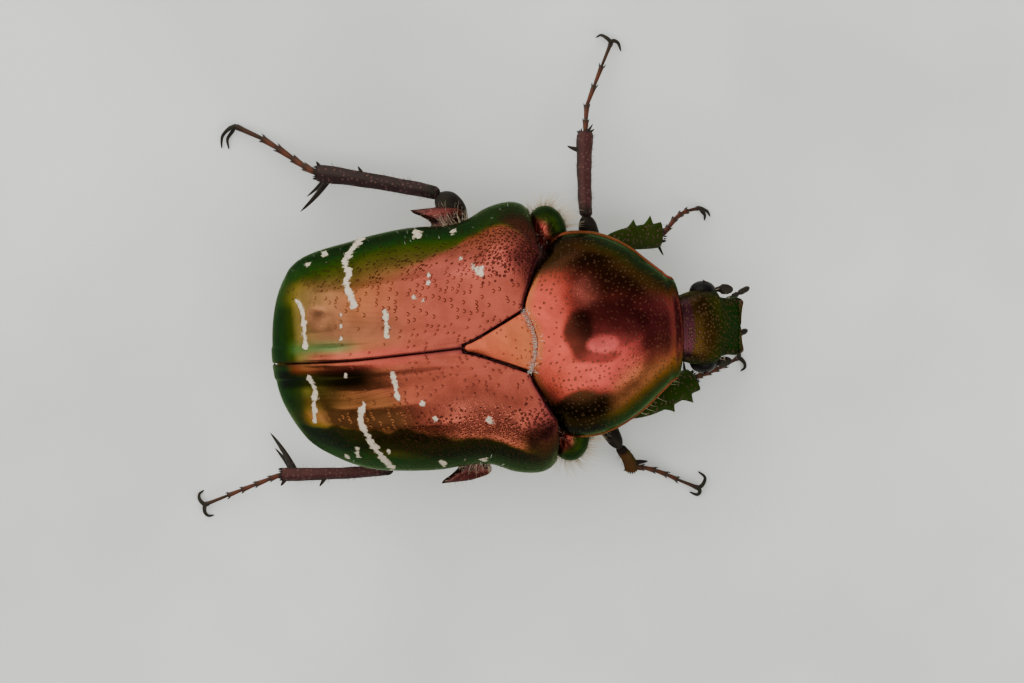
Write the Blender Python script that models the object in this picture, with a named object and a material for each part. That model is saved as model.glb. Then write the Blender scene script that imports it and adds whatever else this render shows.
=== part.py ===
"""A rose chafer at life size, standing: horny plates, head, feelers and six legs, each its own solid.

The beetle faces +X with its left side towards +Y, and its feet stand on the level z = 0.
Sizes are in millimetres and turned to metres when a mesh is made. X and Y are counted from the tip
of the scutellum while shaping, then shifted so that the origin is at the middle of the whole outline.
"""

import math

import bmesh
import bpy
from mathutils import Matrix, Vector

METRES = 0.001
ORIGIN = Vector((0.15, 1.97, 0.0))
GAP = 0.25
PLATE = 0.55
LIMB_SIDES = 8

# Elytra: the outer edge's half width, and how the edge, the crown and the rear slope run.
ELYTRA_HALF_WIDTH = (
    (-6.75, 2.75), (-6.3, 3.35), (-5.5, 3.85), (-4.4, 4.25), (-3.0, 4.52), (-1.5, 4.64), (-0.1, 4.56),
    (0.6, 4.68), (1.4, 5.05), (2.2, 5.2), (2.7, 5.1), (3.05, 4.8),
)
ELYTRA_CORNER_X = -6.75
ELYTRA_CORNER_Y = 2.75
ELYTRA_REAR_X = -7.4
ELYTRA_SHOULDER_X = 3.05
ELYTRA_SHOULDER_Y = 4.8
ELYTRA_EDGE_HEIGHT = ((0.0, 4.9), (0.3, 4.95), (0.55, 5.15), (0.7, 5.3), (0.85, 4.95), (1.0, 4.8))
ELYTRA_CROWN_HEIGHT = 9.0
ELYTRA_SLOPE_START = 0.56
ELYTRA_SLOPE_POWERS = (2.5, 1.6)
ELYTRA_SIDE_POWERS = (3.0, 1.8)
SHOULDER_KNOB = (1.7, 3.75, 0.7, 0.25)
REAR_KNOB = (-5.5, 2.5, 0.6, 0.22)
SUTURE_TROUGH = (-4.2, 1.15, 1.9, 0.5, 0.12)

# Scutellum: a long triangle with its tip at the start of the suture.
SCUTELLUM_LENGTH = 2.5
SCUTELLUM_HALF_WIDTH = 1.2
SCUTELLUM_TIP_RADIUS = 0.16
SCUTELLUM_THICKNESS = 0.7

# Prothorax: its rear edge, half width and heights from rear (0) to front (1).
PRONOTUM_REAR = ((0.0, 2.9), (0.6, 2.78), (1.25, 2.55), (2.2, 2.9), (3.05, 3.3), (3.5, 3.65), (3.9, 4.2))
PRONOTUM_FRONT_X = 8.2
PRONOTUM_FRONT_SETBACK = 0.16
PRONOTUM_HALF_WIDTH = (
    (0.0, 3.1), (0.06, 3.5), (0.14, 3.78), (0.26, 3.9), (0.42, 3.82), (0.6, 3.42), (0.78, 2.78),
    (0.92, 2.15), (1.0, 1.72),
)
PRONOTUM_CROWN_HEIGHT = ((0.0, 8.95), (0.35, 8.8), (0.7, 8.05), (0.9, 7.2), (1.0, 6.6))
PRONOTUM_EDGE_HEIGHT = ((0.0, 6.3), (0.3, 5.85), (0.7, 5.25), (1.0, 5.05))
PROTHORAX_UNDER_HEIGHT = ((0.0, 3.1), (0.5, 3.1), (1.0, 3.7))
PROTHORAX_TURN = math.radians(-3.5)
PROTHORAX_PIVOT = Vector((3.1, -3.0, 0.0))

# Head, measured in its own frame from the neck forwards, then tipped down.
HEAD_NECK = Vector((8.2 + GAP, 0.0, 5.2))
HEAD_PITCH = math.radians(32.0)
HEAD_TURN = math.radians(-2.5)
HEAD_LENGTH = 2.58
HEAD_NECK_LENGTH = 0.8
HEAD_HALF_WIDTH = (
    (-0.8, 1.1), (0.0, 1.38), (0.5, 1.46), (1.0, 1.4), (1.35, 1.17), (1.9, 1.14), (2.4, 1.16), (2.58, 1.05),
)
HEAD_TOP = ((-0.8, 0.6), (0.0, 0.88), (0.8, 0.9), (1.6, 0.68), (2.3, 0.42), (2.58, 0.3))
HEAD_UNDER = ((-0.8, -0.8), (0.0, -1.1), (0.8, -1.15), (1.6, -0.95), (2.2, -0.55), (2.58, -0.2))
EYE_CENTRE = Vector((0.72, 1.38, -0.05))
EYE_RADII = Vector((0.52, 0.4, 0.5))
# Feelers in the head's frame: root, elbow, start and tip of the club; then the two palps' ends.
ANTENNAE = {
    "left": ((1.15, 1.3, -0.2), (1.4, 1.58, -0.12), (1.6, 1.52, -0.08), (2.3, 1.45, 0.0)),
    "right": ((1.15, -1.3, -0.3), (1.45, -1.6, -0.35), (1.75, -1.52, -0.35), (2.65, -1.35, -0.3)),
}
PALPS = {"left": ((2.25, 0.95, -0.75), (3.3, 1.45, -0.6)), "right": ((2.2, -0.6, -0.7), (3.2, -0.2, -0.6))}

# Sides and underside.
THORAX_SECTIONS = (
    # x, half width, top, level of greatest width, bottom
    (3.0, 3.1, 7.3, 5.0, 3.6),
    (2.6, 4.0, 7.6, 4.9, 2.9),
    (1.7, 4.5, 7.9, 4.7, 2.5),
    (0.6, 4.55, 8.0, 4.4, 2.35),
    (-0.4, 4.2, 8.0, 4.5, 2.4),
    (-1.1, 3.75, 7.95, 4.9, 3.2),
    (-1.8, 3.7, 7.85, 5.2, 4.2),
)
THORAX_POWERS = (2.6, 2.4)
KNOB_CENTRE = Vector((3.15, 0.0, 2.75))
KNOB_RADII = Vector((0.65, 0.42, 0.42))
ABDOMEN_HALF_WIDTH = ((-6.6, 2.1), (-6.0, 2.75), (-5.0, 3.35), (-3.5, 3.75), (-2.1, 3.8))
ABDOMEN_TOP = ((-6.6, 5.4), (-6.0, 6.3), (-5.0, 7.3), (-3.5, 7.75), (-2.1, 7.9))
ABDOMEN_MIDDLE = ((-6.6, 4.3), (-2.1, 4.5))
ABDOMEN_BOTTOM = ((-6.6, 3.5), (-6.0, 3.1), (-5.0, 2.8), (-3.5, 2.55), (-2.1, 2.45))
ABDOMEN_RINGS = (-2.1, -2.95, -3.75, -4.5, -5.25, -6.0, -6.6)
ABDOMEN_STEP = 0.1
PYGIDIUM_CENTRE = Vector((-6.1, 0.0, 4.05))
PYGIDIUM_RADII = Vector((1.17, 2.75, 1.2))
MESEPIMERON_CENTRE = Vector((3.55, 4.1, 4.7))
MESEPIMERON_RADII = Vector((0.72, 0.78, 1.45))

# Hind coxa plates: y, front x, rear x, bottom and top.
HIND_COXA_SECTIONS = (
    (0.15, -0.75, -1.75, 2.4, 3.4),
    (1.6, -0.7, -1.85, 2.35, 3.5),
    (3.2, -0.35, -1.75, 2.65, 3.75),
    (4.3, 0.2, -1.55, 3.05, 4.0),
    (4.85, 0.35, -1.5, 3.2, 4.0),
    (5.15, -0.2, -1.5, 3.35, 3.85),
    (5.32, -1.1, -1.5, 3.5, 3.75),
)

# Legs: joints in millimetres, from the coxa out to the claws.
LEGS = {
    "front_left": dict(
        coxa=(6.1, 0.75, 3.1), coxa_radii=(0.62, 0.6, 0.75), hip=(6.05, 1.15, 2.45), knee=(5.55, 3.15, 3.3),
        apex=(8.2, 3.45, 1.75), foot=((8.75, 3.8, 1.15), (9.35, 3.95, 0.22)), claws=(9.95, 3.6, 0.0),
        femur_width=0.56, tibia_width=0.46, outer=(0.1, 1.0, 0.15),
    ),
    "front_right": dict(
        coxa=(6.1, -1.15, 3.1), coxa_radii=(0.62, 0.6, 0.75), hip=(6.15, -1.55, 2.45), knee=(6.2, -3.55, 3.3),
        apex=(8.95, -2.5, 1.8), foot=((9.6, -2.35, 1.2), (10.2, -2.15, 0.22)), claws=(10.75, -1.9, 0.0),
        femur_width=0.56, tibia_width=0.46, outer=(0.35, -0.9, 0.15),
    ),
    "middle_left": dict(
        coxa=(2.0, 1.3, 2.6), coxa_radii=(0.75, 0.62, 0.55), hip=(2.3, 1.75, 1.9), knee=(5.2, 4.1, 3.75),
        apex=(5.6, 7.5, 1.7), foot=((6.0, 8.75, 0.75), (6.55, 10.1, 0.22)), claws=(6.9, 10.75, 0.0),
        femur_width=0.68, tibia_width=0.36, outer=(-1.0, 0.1, 0.2),
    ),
    "middle_right": dict(
        coxa=(2.0, -1.3, 2.6), coxa_radii=(0.75, 0.62, 0.55), hip=(2.3, -1.75, 1.9), knee=(5.3, -4.35, 3.95),
        apex=(5.95, -5.75, 0.85), foot=((6.7, -5.9, 0.35), (7.95, -6.65, 0.22)), claws=(8.6, -6.45, 0.0),
        femur_width=0.68, tibia_width=0.36, outer=(1.0, 0.1, 0.2),
    ),
    "hind_left": dict(
        coxa=None, hip=(-1.35, 1.2, 1.75), knee=(0.35, 5.45, 3.05),
        apex=(-5.0, 7.15, 1.75), foot=((-6.6, 8.05, 0.95), (-7.75, 9.0, 0.22)), claws=(-8.2, 9.1, 0.0),
        femur_width=0.74, tibia_width=0.4, outer=(0.25, 1.0, 0.2),
    ),
    "hind_right": dict(
        coxa=None, hip=(-1.35, -1.2, 1.75), knee=(-3.2, -4.75, 3.1),
        apex=(-7.7, -4.45, 1.25), foot=((-9.2, -4.85, 0.55), (-10.4, -5.25, 0.22)), claws=(-11.05, -5.35, 0.0),
        femur_width=0.74, tibia_width=0.4, outer=(0.0, -1.0, 0.2),
    ),
}
FEMUR_PROFILE = ((0.0, 0.5), (0.18, 0.85), (0.45, 1.0), (0.78, 0.85), (0.95, 0.66), (1.0, 0.5))
TIBIA_PROFILE = ((0.0, 0.62), (0.07, 0.8), (0.35, 0.82), (0.7, 1.0), (0.94, 1.12), (1.0, 0.85))
TARSUS_SEGMENTS = 5
TARSUS_RADIUS = 0.26
CLAW_RADIUS = 0.22
CLAW_SPREAD = 0.42
TOOTH_TIP = 0.06


def lerp(a, b, share):
    """The value that share of the way from a to b."""
    return a + (b - a) * share


def smooth(stations, x):
    """The value at x of the smooth curve through (x, value) stations, held level past both ends."""
    if x <= stations[0][0]:
        return stations[0][1]
    if x >= stations[-1][0]:
        return stations[-1][1]
    at = next(i for i in range(1, len(stations)) if x <= stations[i][0])
    (x0, v0), (x1, v1) = stations[at - 1], stations[at]
    before, after = stations[max(at - 2, 0)], stations[min(at + 1, len(stations) - 1)]
    width = x1 - x0
    slope0 = (v1 - before[1]) / (x1 - before[0]) * width
    slope1 = (after[1] - v0) / (after[0] - x0) * width
    w = (x - x0) / width
    return (
        (2 * w**3 - 3 * w**2 + 1) * v0 + (w**3 - 2 * w**2 + w) * slope0
        + (3 * w**2 - 2 * w**3) * v1 + (w**3 - w**2) * slope1
    )


def bump(x, y, spot):
    """A round rise of the given height and spread at a place on a plate."""
    at_x, at_y, spread, height = spot
    return height * math.exp(-((x - at_x) ** 2 + (y - at_y) ** 2) / (2 * spread**2))


def new_object(name, points, faces):
    """A mesh object whose sizes are still in millimetres."""
    mesh = bpy.data.meshes.new(name)
    mesh.from_pydata([tuple(p) for p in points], [], faces)
    made = bpy.data.objects.new(name, mesh)
    bpy.context.scene.collection.objects.link(made)
    face_outwards(made)
    return made


def face_outwards(obj):
    """Merges doubled points and turns every face outwards."""
    work = bmesh.new()
    work.from_mesh(obj.data)
    bmesh.ops.remove_doubles(work, verts=work.verts, dist=0.002)
    bmesh.ops.recalc_face_normals(work, faces=work.faces)
    if work.calc_volume(signed=True) < 0:
        bmesh.ops.reverse_faces(work, faces=work.faces)
    work.to_mesh(obj.data)
    work.free()


def loft(name, rings):
    """A closed solid through rings of equally many points, with a fan over each end."""
    count = len(rings[0])
    points = [p for ring in rings for p in ring]
    faces = []
    for row in range(len(rings) - 1):
        for k in range(count):
            a, b = row * count + k, row * count + (k + 1) % count
            faces.append((a, b, b + count, a + count))
    for row in (0, len(rings) - 1):
        middle = sum((Vector(p) for p in rings[row]), Vector()) / count
        points.append(middle)
        faces += [(row * count + k, row * count + (k + 1) % count, len(points) - 1) for k in range(count)]
    return new_object(name, points, faces)


def shell(name, grid, thickness, straight_side=False):
    """A closed plate below a grid of points, offset along the grid's own normals.

    With straight_side the first column is offset without any sideways lean, as along the suture.
    """
    rows, columns = len(grid), len(grid[0])
    points = [Vector(p) for row in grid for p in row]
    top = [
        (i * columns + j, i * columns + j + 1, (i + 1) * columns + j + 1, (i + 1) * columns + j)
        for i in range(rows - 1) for j in range(columns - 1)
    ]
    sheet = bpy.data.meshes.new(name)
    sheet.from_pydata(points, [], top)
    normals = [v.normal.copy() for v in sheet.vertices]
    bpy.data.meshes.remove(sheet)
    if normals[len(normals) // 2].z < 0:
        normals = [-n for n in normals]
    if straight_side:
        for i in range(rows):
            normals[i * columns].y = 0.0
    count = len(points)
    points += [p - n * thickness for p, n in zip(points, normals)]
    faces = top + [tuple(k + count for k in reversed(face)) for face in top]
    rim = [j for j in range(columns)]
    rim += [i * columns + columns - 1 for i in range(1, rows)]
    rim += [(rows - 1) * columns + j for j in range(columns - 2, -1, -1)]
    rim += [i * columns for i in range(rows - 2, 0, -1)]
    for k, a in enumerate(rim):
        b = rim[(k + 1) % len(rim)]
        faces.append((b, a, a + count, b + count))
    return new_object(name, points, faces)


def oval_ring(centre, across, up, half_across, half_up, sides):
    """Points round an ellipse spanned by two directions."""
    turns = [2 * math.pi * k / sides for k in range(sides)]
    return [
        centre + across * (half_across * math.cos(a)) + up * (half_up * math.sin(a)) for a in turns
    ]


def limb(name, path, half_widths, flatness=1.0, broad=Vector((0, 0, 1)), sides=LIMB_SIDES):
    """A tube along a path. Its wider axis leans towards broad, and flatness is thickness over width."""
    path = [Vector(p) for p in path]
    rings = []
    for k, centre in enumerate(path):
        ahead = (path[min(k + 1, len(path) - 1)] - path[max(k - 1, 0)]).normalized()
        across = (broad - ahead * broad.dot(ahead)).normalized()
        up = ahead.cross(across)
        rings.append(oval_ring(centre, across, up, half_widths[k], half_widths[k] * flatness, sides))
    return loft(name, rings)


def ellipsoid(name, centre, radii, sides=12, rows=7):
    """A closed ball stretched to three radii."""
    rings = []
    for row in range(1, rows):
        lift = math.pi * row / rows - math.pi / 2
        middle = centre + Vector((0, 0, radii.z * math.sin(lift)))
        reach = math.cos(lift)
        rings.append(oval_ring(middle, Vector((1, 0, 0)), Vector((0, 1, 0)), radii.x * reach, radii.y * reach, sides))
    ball = loft(name, rings)
    for v in ball.data.vertices[-2:]:
        v.co.z = centre.z + math.copysign(radii.z, v.co.z - centre.z)
    return ball


def boolean(target, others, operation):
    """Joins others to target, or cuts them from it, and keeps the largest closed surface."""
    group = bpy.data.collections.new("tools")
    for other in others:
        for collection in list(other.users_collection):
            collection.objects.unlink(other)
        group.objects.link(other)
    bpy.context.scene.collection.children.link(group)
    modifier = target.modifiers.new("boolean", "BOOLEAN")
    modifier.operation = operation
    modifier.operand_type = "COLLECTION"
    modifier.collection = group
    modifier.solver = "MANIFOLD"
    graph = bpy.context.evaluated_depsgraph_get()
    mesh = bpy.data.meshes.new_from_object(target.evaluated_get(graph))
    target.modifiers.remove(modifier)
    target.data = mesh
    for other in others:
        bpy.data.objects.remove(other)
    bpy.data.collections.remove(group)
    keep_largest(target)
    return target


def keep_largest(obj):
    """Removes all but the largest connected surface."""
    work = bmesh.new()
    work.from_mesh(obj.data)
    bmesh.ops.remove_doubles(work, verts=work.verts, dist=0.002)
    left, islands = set(work.faces), []
    while left:
        island, front = set(), [left.pop()]
        while front:
            face = front.pop()
            island.add(face)
            near = {other for edge in face.edges for other in edge.link_faces} & left
            left -= near
            front += list(near)
        islands.append(island)
    islands.sort(key=lambda island: sum(f.calc_area() for f in island))
    bmesh.ops.delete(work, geom=[f for island in islands[:-1] for f in island], context="FACES")
    loose = [v for v in work.verts if not v.link_faces]
    bmesh.ops.delete(work, geom=loose, context="VERTS")
    bmesh.ops.triangulate(work, faces=work.faces)
    work.to_mesh(obj.data)
    work.free()


def grown(obj, by):
    """A copy of a closed object, larger by a margin on every side."""
    made = bpy.data.objects.new(obj.name + "_grown", obj.data.copy())
    bpy.context.scene.collection.objects.link(made)
    normals = [v.normal.copy() for v in made.data.vertices]
    for v, normal in zip(made.data.vertices, normals):
        v.co += normal * by
    return made


def carve(target, *others):
    """Cuts target back so that a thin gap is left to each of the others."""
    for other in others:
        boolean(target, [grown(other, GAP)], "DIFFERENCE")


def turn_prothorax(obj):
    """The prothorax and head are turned a little to the beetle's right."""
    obj.data.transform(
        Matrix.Translation(PROTHORAX_PIVOT) @ Matrix.Rotation(PROTHORAX_TURN, 4, "Z")
        @ Matrix.Translation(-PROTHORAX_PIVOT)
    )


def mirrored(obj, name):
    """A copy of an object on the beetle's other side."""
    made = bpy.data.objects.new(name, obj.data.copy())
    bpy.context.scene.collection.objects.link(made)
    made.data.transform(Matrix.Scale(-1, 4, Vector((0, 1, 0))))
    face_outwards(made)
    return made


def elytra_rear_x(y):
    """The rear edge of an elytron, from the suture to the rounded rear corner."""
    share = min(abs(y) / ELYTRA_CORNER_Y, 1.0)
    return lerp(ELYTRA_REAR_X, ELYTRA_CORNER_X, share**2.4)


def elytra_front_x(y):
    """The front edge of an elytron: along the scutellum, then along the pronotum to the shoulder."""
    beside = (y - SCUTELLUM_TIP_RADIUS - GAP) / (SCUTELLUM_HALF_WIDTH - SCUTELLUM_TIP_RADIUS)
    if beside < 1:
        return max(min(beside * SCUTELLUM_LENGTH, smooth(PRONOTUM_REAR, y) - GAP), -GAP * 0.6)
    follow = smooth(PRONOTUM_REAR, y) - GAP
    rounding = max(y - 3.6, 0.0) / (ELYTRA_SHOULDER_Y - 3.6)
    return min(follow, 3.2) - (3.2 - ELYTRA_SHOULDER_X) * rounding**2


def elytron_point(s, t):
    """A point of the left elytron's upper side: s runs from rear to front, t from suture to edge."""
    edge_x = lerp(ELYTRA_CORNER_X, ELYTRA_SHOULDER_X, s)
    half_gap = GAP / 2
    y = half_gap + t * (smooth(ELYTRA_HALF_WIDTH, edge_x) - half_gap)
    x = lerp(elytra_rear_x(t * ELYTRA_CORNER_Y), elytra_front_x(t * ELYTRA_SHOULDER_Y), s)
    slope = max(0.0, (ELYTRA_SLOPE_START - s) / ELYTRA_SLOPE_START)
    along = (1 - slope ** ELYTRA_SLOPE_POWERS[0]) ** (1 / ELYTRA_SLOPE_POWERS[1])
    across = (1 - t ** ELYTRA_SIDE_POWERS[0]) ** (1 / ELYTRA_SIDE_POWERS[1])
    edge = smooth(ELYTRA_EDGE_HEIGHT, s)
    rise = along * across
    z = edge + (ELYTRA_CROWN_HEIGHT - edge) * rise
    z += (bump(x, y, SHOULDER_KNOB) + bump(x, y, REAR_KNOB)) * min(1.0, rise * 2)
    at_x, at_y, length, breadth, depth = SUTURE_TROUGH
    z -= depth * math.exp(-((x - at_x) / length) ** 2 / 2 - ((y - at_y) / breadth) ** 2 / 2)
    return Vector((x, y, z))


def make_elytra():
    rows, columns = 19, 10
    grid = []
    for i in range(rows):
        s = 1 - math.cos(math.pi / 2 * i / (rows - 1))
        grid.append([elytron_point(s, math.sin(math.pi / 2 * j / (columns - 1))) for j in range(columns)])
    left = shell("elytron_left", grid, PLATE, straight_side=True)
    return [left, mirrored(left, "elytron_right")]


def make_scutellum():
    """A slightly vaulted triangle between the elytra, level with them."""
    rows, columns = 8, 7
    grid = []
    for i in range(rows):
        share = i / (rows - 1)
        half = math.sqrt(SCUTELLUM_TIP_RADIUS**2 + (share * SCUTELLUM_HALF_WIDTH) ** 2) - 0.02
        row = []
        for j in range(columns):
            across = 2 * j / (columns - 1) - 1
            y = half * across
            base_x = smooth(PRONOTUM_REAR, abs(y)) - GAP
            x = lerp(0.05 + 0.12 * abs(across), min(base_x, SCUTELLUM_LENGTH + 0.1), share)
            row.append(Vector((x, y, ELYTRA_CROWN_HEIGHT - 0.02 - 0.1 * across**2 - 0.05 * share)))
        grid.append(row)
    return shell("scutellum", grid, SCUTELLUM_THICKNESS)


def body_ring(x_of_y, half_width, top, middle, bottom, powers, sides):
    """A closed cross-section whose upper and lower halves are superellipses."""
    ring = []
    for k in range(sides):
        angle = 2 * math.pi * k / sides
        c, s = math.cos(angle), math.sin(angle)
        power = powers[0] if s > 0 else powers[1]
        y = half_width * math.copysign(abs(c) ** (2 / power), c)
        reach = top - middle if s > 0 else middle - bottom
        z = middle + reach * math.copysign(abs(s) ** (2 / power), s)
        ring.append(Vector((x_of_y(y), y, z)))
    return ring


def pronotum_x(share, y):
    """How far forward a point of the prothorax lies, between its curved rear and front edges."""
    rear = smooth(PRONOTUM_REAR, min(abs(y), 3.2))
    front = PRONOTUM_FRONT_X - PRONOTUM_FRONT_SETBACK * (abs(y) / 1.72) ** 2
    return lerp(rear, front, share)


def make_prothorax():
    """The pronotum with the ring of the prothorax below it."""
    shares = (0.0, 0.05, 0.13, 0.26, 0.42, 0.58, 0.72, 0.84, 0.94, 1.0)
    rings = []
    for share in shares:
        rings.append(body_ring(
            lambda y, share=share: pronotum_x(share, y), smooth(PRONOTUM_HALF_WIDTH, share),
            smooth(PRONOTUM_CROWN_HEIGHT, share), smooth(PRONOTUM_EDGE_HEIGHT, share),
            smooth(PROTHORAX_UNDER_HEIGHT, share), (2.3, 2.2), 28,
        ))
    body = loft("prothorax", rings)
    turn_prothorax(body)
    return body


def make_thorax():
    """The middle of the body below the elytra, with the knob between the middle legs."""
    rings = []
    for x, half_width, top, middle, bottom in THORAX_SECTIONS:
        front = max(0.0, (x - 1.7) / 1.3)
        rings.append(body_ring(
            lambda y, x=x, front=front: lerp(x, smooth(PRONOTUM_REAR, min(abs(y), 2.6)) - GAP - 0.05, front),
            half_width, top, middle, bottom, THORAX_POWERS, 24,
        ))
    body = loft("thorax", rings)
    return boolean(body, [ellipsoid("knob", KNOB_CENTRE, KNOB_RADII)], "UNION")


def make_abdomen():
    """The hind body, whose rings overlap like tiles towards the rear."""
    rings = []

    def add(x, grow):
        rings.append(body_ring(
            lambda y: x, smooth(ABDOMEN_HALF_WIDTH, x) + grow, smooth(ABDOMEN_TOP, x),
            smooth(ABDOMEN_MIDDLE, x), smooth(ABDOMEN_BOTTOM, x) - grow, (2.5, 2.2), 22,
        ))

    for k, x in enumerate(ABDOMEN_RINGS):
        if 0 < k < len(ABDOMEN_RINGS) - 1:
            add(x + 0.03, ABDOMEN_STEP)
        add(x, 0.0)
    return loft("abdomen", rings)


def make_hind_coxae():
    """Broad plates ahead of the abdomen, drawn out behind into a point that shows past the elytra."""
    rings = []
    for y, front, rear, bottom, top in HIND_COXA_SECTIONS:
        centre = Vector(((front + rear) / 2, y, (bottom + top) / 2))
        rings.append(oval_ring(
            centre, Vector((1, 0, 0)), Vector((0, 0, 1)), (front - rear) / 2, (top - bottom) / 2, 12,
        ))
    left = loft("coxa_hind_left", rings)
    return [left, mirrored(left, "coxa_hind_right")]


def place_head(obj):
    """Tips a piece modelled in the head's own frame down and sets it at the neck."""
    obj.data.transform(
        Matrix.Translation(HEAD_NECK) @ Matrix.Rotation(HEAD_TURN, 4, "Z") @ Matrix.Rotation(HEAD_PITCH, 4, "Y")
    )
    turn_prothorax(obj)
    return obj


def make_head():
    """The head with its shield-like front, and the eyes set in its sides."""
    rings = []
    for share in (-HEAD_NECK_LENGTH / HEAD_LENGTH, -0.1, 0.05, 0.18, 0.3, 0.4, 0.5, 0.64, 0.8, 0.93, 1.0):
        x = share * HEAD_LENGTH
        notch = 0.12 * max(0.0, (share - 0.6) / 0.4)
        top, under = smooth(HEAD_TOP, x), smooth(HEAD_UNDER, x)
        rings.append(body_ring(
            lambda y, x=x, notch=notch: x - notch * max(0.0, 1 - (y / 0.8) ** 2),
            smooth(HEAD_HALF_WIDTH, x), top, lerp(under, top, 0.6), under, (3.0, 2.2), 20,
        ))
    head = place_head(loft("head", rings))
    eyes = []
    for side, sign in (("left", 1), ("right", -1)):
        centre = Vector((EYE_CENTRE.x, sign * EYE_CENTRE.y, EYE_CENTRE.z))
        eyes.append(place_head(ellipsoid(f"eye_{side}", centre, EYE_RADII, 12, 8)))
    carve(head, *eyes)
    return [head, *eyes]


def make_antennae():
    """Each feeler: a thick first joint, a short stalk and the three-leaved club."""
    made = []
    for side, joints in ANTENNAE.items():
        root, elbow, club, tip = (Vector(p) for p in joints)
        stalk = limb(f"antenna_{side}", [root, lerp(root, elbow, 0.5), elbow, club, lerp(club, tip, 0.3)],
                     [0.2, 0.27, 0.25, 0.25, 0.25])
        leaves = limb("leaves", [club, lerp(club, tip, 0.3), lerp(club, tip, 0.75), tip], [0.16, 0.33, 0.33, 0.14],
                      0.75, Vector((0, 0, 1)), 10)
        made.append(boolean(place_head(stalk), [place_head(leaves)], "UNION"))
    return made


def make_palps():
    """The two feelers of the jaw that reach past the front of the head."""
    made = []
    for side, (root, tip) in PALPS.items():
        root, tip = Vector(root), Vector(tip)
        palp = limb(f"palp_{side}", [root, lerp(root, tip, 0.4), lerp(root, tip, 0.85), tip],
                    [0.2, 0.25, 0.22, 0.1])
        made.append(place_head(palp))
    return made


def make_mesepimera():
    """The bulging plates that show between the pronotum's rear corners and the shoulders."""
    left = ellipsoid("mesepimeron_left", MESEPIMERON_CENTRE, MESEPIMERON_RADII, 14, 9)
    return [left, mirrored(left, "mesepimeron_right")]


def make_coxae():
    made = {}
    for leg, size in LEGS.items():
        if size["coxa"]:
            made[leg] = ellipsoid(f"coxa_{leg}", Vector(size["coxa"]), Vector(size["coxa_radii"]), 10, 7)
    return made


def thorn(name, root, tip, radius):
    """A tooth or spur that tapers to a small point."""
    root, tip = Vector(root), Vector(tip)
    return limb(name, [root, lerp(root, tip, 0.5), tip], [radius, radius * 0.72, TOOTH_TIP], 1.0,
                Vector((0.13, 0.21, 0.97)), 6)


def make_femur(leg, size):
    hip, knee = Vector(size["hip"]), Vector(size["knee"])
    width = size["femur_width"]
    path = [lerp(hip, knee, share * 0.97) for share, _ in FEMUR_PROFILE]
    return limb(f"femur_{leg}", path, [width * w for _, w in FEMUR_PROFILE], 0.72, Vector((1, 0, 0)))


def make_tibia(leg, size):
    """The shin with its outer teeth and the spurs at its end."""
    knee, apex = Vector(size["knee"]), Vector(size["apex"])
    along = (apex - knee).normalized()
    outer = Vector(size["outer"])
    outer = (outer - along * outer.dot(along)).normalized()
    width = size["tibia_width"]
    path = [lerp(knee + along * 0.1, apex, share) for share, _ in TIBIA_PROFILE]
    shin = limb(f"tibia_{leg}", path, [width * w for _, w in TIBIA_PROFILE], 0.75, outer)
    thorns = []
    if leg.startswith("front"):
        for share, reach in ((0.5, 0.8), (0.78, 0.9), (0.97, 0.85)):
            root = lerp(knee, apex, share) - along * 0.1
            thorns.append(thorn("tooth", root, root + outer * reach + along * 0.28, 0.3))
        root = lerp(knee, apex, 0.9)
        thorns.append(thorn("spur", root, root - outer * 0.62 + along * 0.55, 0.2))
    else:
        root = lerp(knee, apex, 0.58)
        thorns.append(thorn("tooth", root, root + outer * 0.72 + along * 0.22, 0.28))
        root = lerp(knee, apex, 0.93)
        thorns.append(thorn("tooth", root, root + outer * 0.62 + along * 0.25, 0.26))
        for spread, reach in ((0.2, 1.25), (-0.25, 0.85)):
            tip = root - outer * reach * 0.62 + along * reach * 0.72 + Vector((0, 0, spread * 0.5 - 0.1))
            thorns.append(thorn("spur", root, tip, 0.2))
    return boolean(shin, thorns, "UNION")


def slab_below_floor():
    """A cutter that leaves flats where a foot would reach below the level it stands on."""
    corners = [(x, y, z) for x in (-20, 20) for y in (-20, 20) for z in (-3, 0)]
    faces = [(0, 1, 3, 2), (4, 6, 7, 5), (0, 4, 5, 1), (2, 3, 7, 6), (0, 2, 6, 4), (1, 5, 7, 3)]
    return new_object("slab", corners, faces)


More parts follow.
